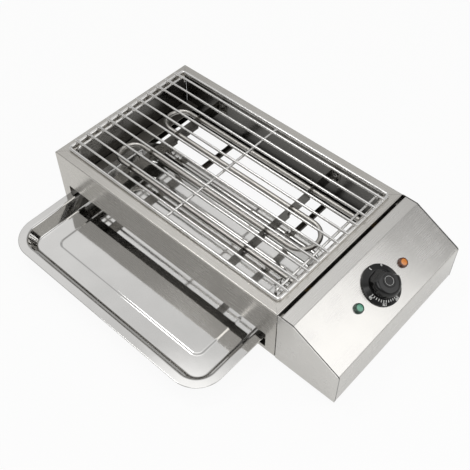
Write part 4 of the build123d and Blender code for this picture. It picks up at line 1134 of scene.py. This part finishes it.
@dataclass(frozen=True)
class Studio:
    """Plain pale floor, a backdrop that is brightest at one place, and soft boxes."""

    floor_radius: float = 8.0  # Radius of the flat round floor, in metres
    cove_radius: float = 3.0  # Radius of the cove that the floor rises into
    floor_sides: int = 96  # Points round the floor
    cove_points: int = 13  # Points up the cove
    floor_colour: str = "#f1f1ef"  # Paint of the floor, sRGB hex
    floor_roughness: float = 0.9
    floor_white: float = 0.92  # Share of plain white on the floor, as the eye sees it
    mirrored_white: float = 0.4  # The same share as mirrors and glass show it
    bright_bearing: float = 146.0  # Bearing of the backdrop's brightest place, in degrees
    bright_height: float = 70.0  # Its angle above the floor
    # Brightness of the backdrop, by the cosine of the angle from its brightest place
    backdrop: tuple[tuple[float, float], ...] = (
        (0.0, 0.3), (0.6, 0.38), (0.75, 0.46), (0.88, 0.55), (0.925, 0.9), (0.945, 0.9),
        (0.965, 0.82), (0.981, 0.78), (0.9885, 1.4), (1.0, 1.55),
    )
    lamps: tuple[SoftBox, ...] = (
        SoftBox("left_softbox", 197, 67, 1.8, 0.45, 4.5),
        SoftBox("top_softbox", -48, 59, 1.8, 0.9, 1.8),
        SoftBox("right_softbox", 21, 40, 1.7, 1.0, 1.2),
    )

    def build(self) -> None:
        """Makes the floor, the surroundings and the lamps."""
        self.floor()
        self.surroundings()
        for lamp in self.lamps:
            lamp.build()

    def white_share(self, tree: Tree) -> Socket:
        """Share of plain white: one for the eye's rays, one for mirrors and glass, none for other rays.

        Args:
            tree: Node tree of the floor.

        Returns:
            The socket that carries the share.
        """
        rays = add_node(tree, "LightPath").node.outputs
        mirror = calculated(tree, "MAXIMUM", rays["Is Glossy Ray"], rays["Is Transmission Ray"])
        seen = calculated(tree, "MULTIPLY", rays["Is Camera Ray"], self.floor_white)
        return calculated(tree, "MULTIPLY_ADD", mirror, self.mirrored_white, seen)

    def floor(self) -> None:
        """Makes the floor: a disc with a quarter-round cove, painted pale, partly plain white to the eye."""
        turn, rise = np.meshgrid(full_turn(self.floor_sides), np.linspace(0, np.pi / 2, self.cove_points))
        reach = self.floor_radius + self.cove_radius * np.sin(rise)
        level = self.cove_radius * (1 - np.cos(rise))
        points, faces = skin(np.stack([reach * np.cos(turn), reach * np.sin(turn), level], -1))
        mesh = bpy.data.meshes.new("studio_floor")
        mesh.from_pydata(points.tolist(), [], faces[:-1])
        paint = bpy.data.materials.new("floor_paint")
        paint.use_nodes = True
        tree = paint.node_tree
        shader = tree.nodes["Principled BSDF"]
        shader.inputs["Base Color"].default_value = linear(self.floor_colour)
        shader.inputs["Roughness"].default_value = self.floor_roughness
        shader.inputs["Specular IOR Level"].default_value = 0.0
        white = add_node(tree, "Emission", {"Strength": 1.0})
        mixed = add_node(tree, "MixShader", {0: self.white_share(tree), 1: shader.outputs[0], 2: white})
        tree.links.new(mixed, tree.nodes["Material Output"].inputs["Surface"])
        mesh.materials.append(paint)
        floor = add_object("studio_floor", mesh)

    def surroundings(self) -> None:
        """Makes the backdrop, whose brightness depends on the angle from its brightest place."""
        world = bpy.data.worlds.new("studio")
        bpy.context.scene.world = world
        world.use_nodes = True
        tree = world.node_tree
        direction = add_node(tree, "TexCoord", out="Generated")
        pair = {0: direction, 1: toward(self.bright_bearing, self.bright_height)}
        nearness = add_node(tree, "VectorMath", pair, "Value", operation="DOT_PRODUCT")
        ramp = add_node(tree, "ValToRGB", {"Fac": nearness})
        stops = ramp.node.color_ramp.elements
        while len(stops) < len(self.backdrop):
            stops.new(1.0)
        for stop, (cosine, brightness) in zip(stops, self.backdrop):
            stop.position = cosine
            stop.color = (brightness, brightness, brightness, 1.0)
        tree.links.new(ramp, tree.nodes["Background"].inputs["Color"])


def main() -> None:
    """Dresses the grill and sets the stage."""
    logging.basicConfig(level=logging.INFO, format="%(message)s")
    bpy.context.scene.view_settings.view_transform = "Standard"
    dress_frame()
    PressedTray().build()
    SlotFold().build()
    WireGrate().build()
    panel = ControlPanel.of_frame()
    for colour in ("green", "orange"):
        LampLens(panel, colour).build()
    knob = DialKnob(panel)
    knob.build()
    DialPrint(knob).build()
    Studio().build()
    PhotoCamera().build()


if __name__ == "__main__":
    main()
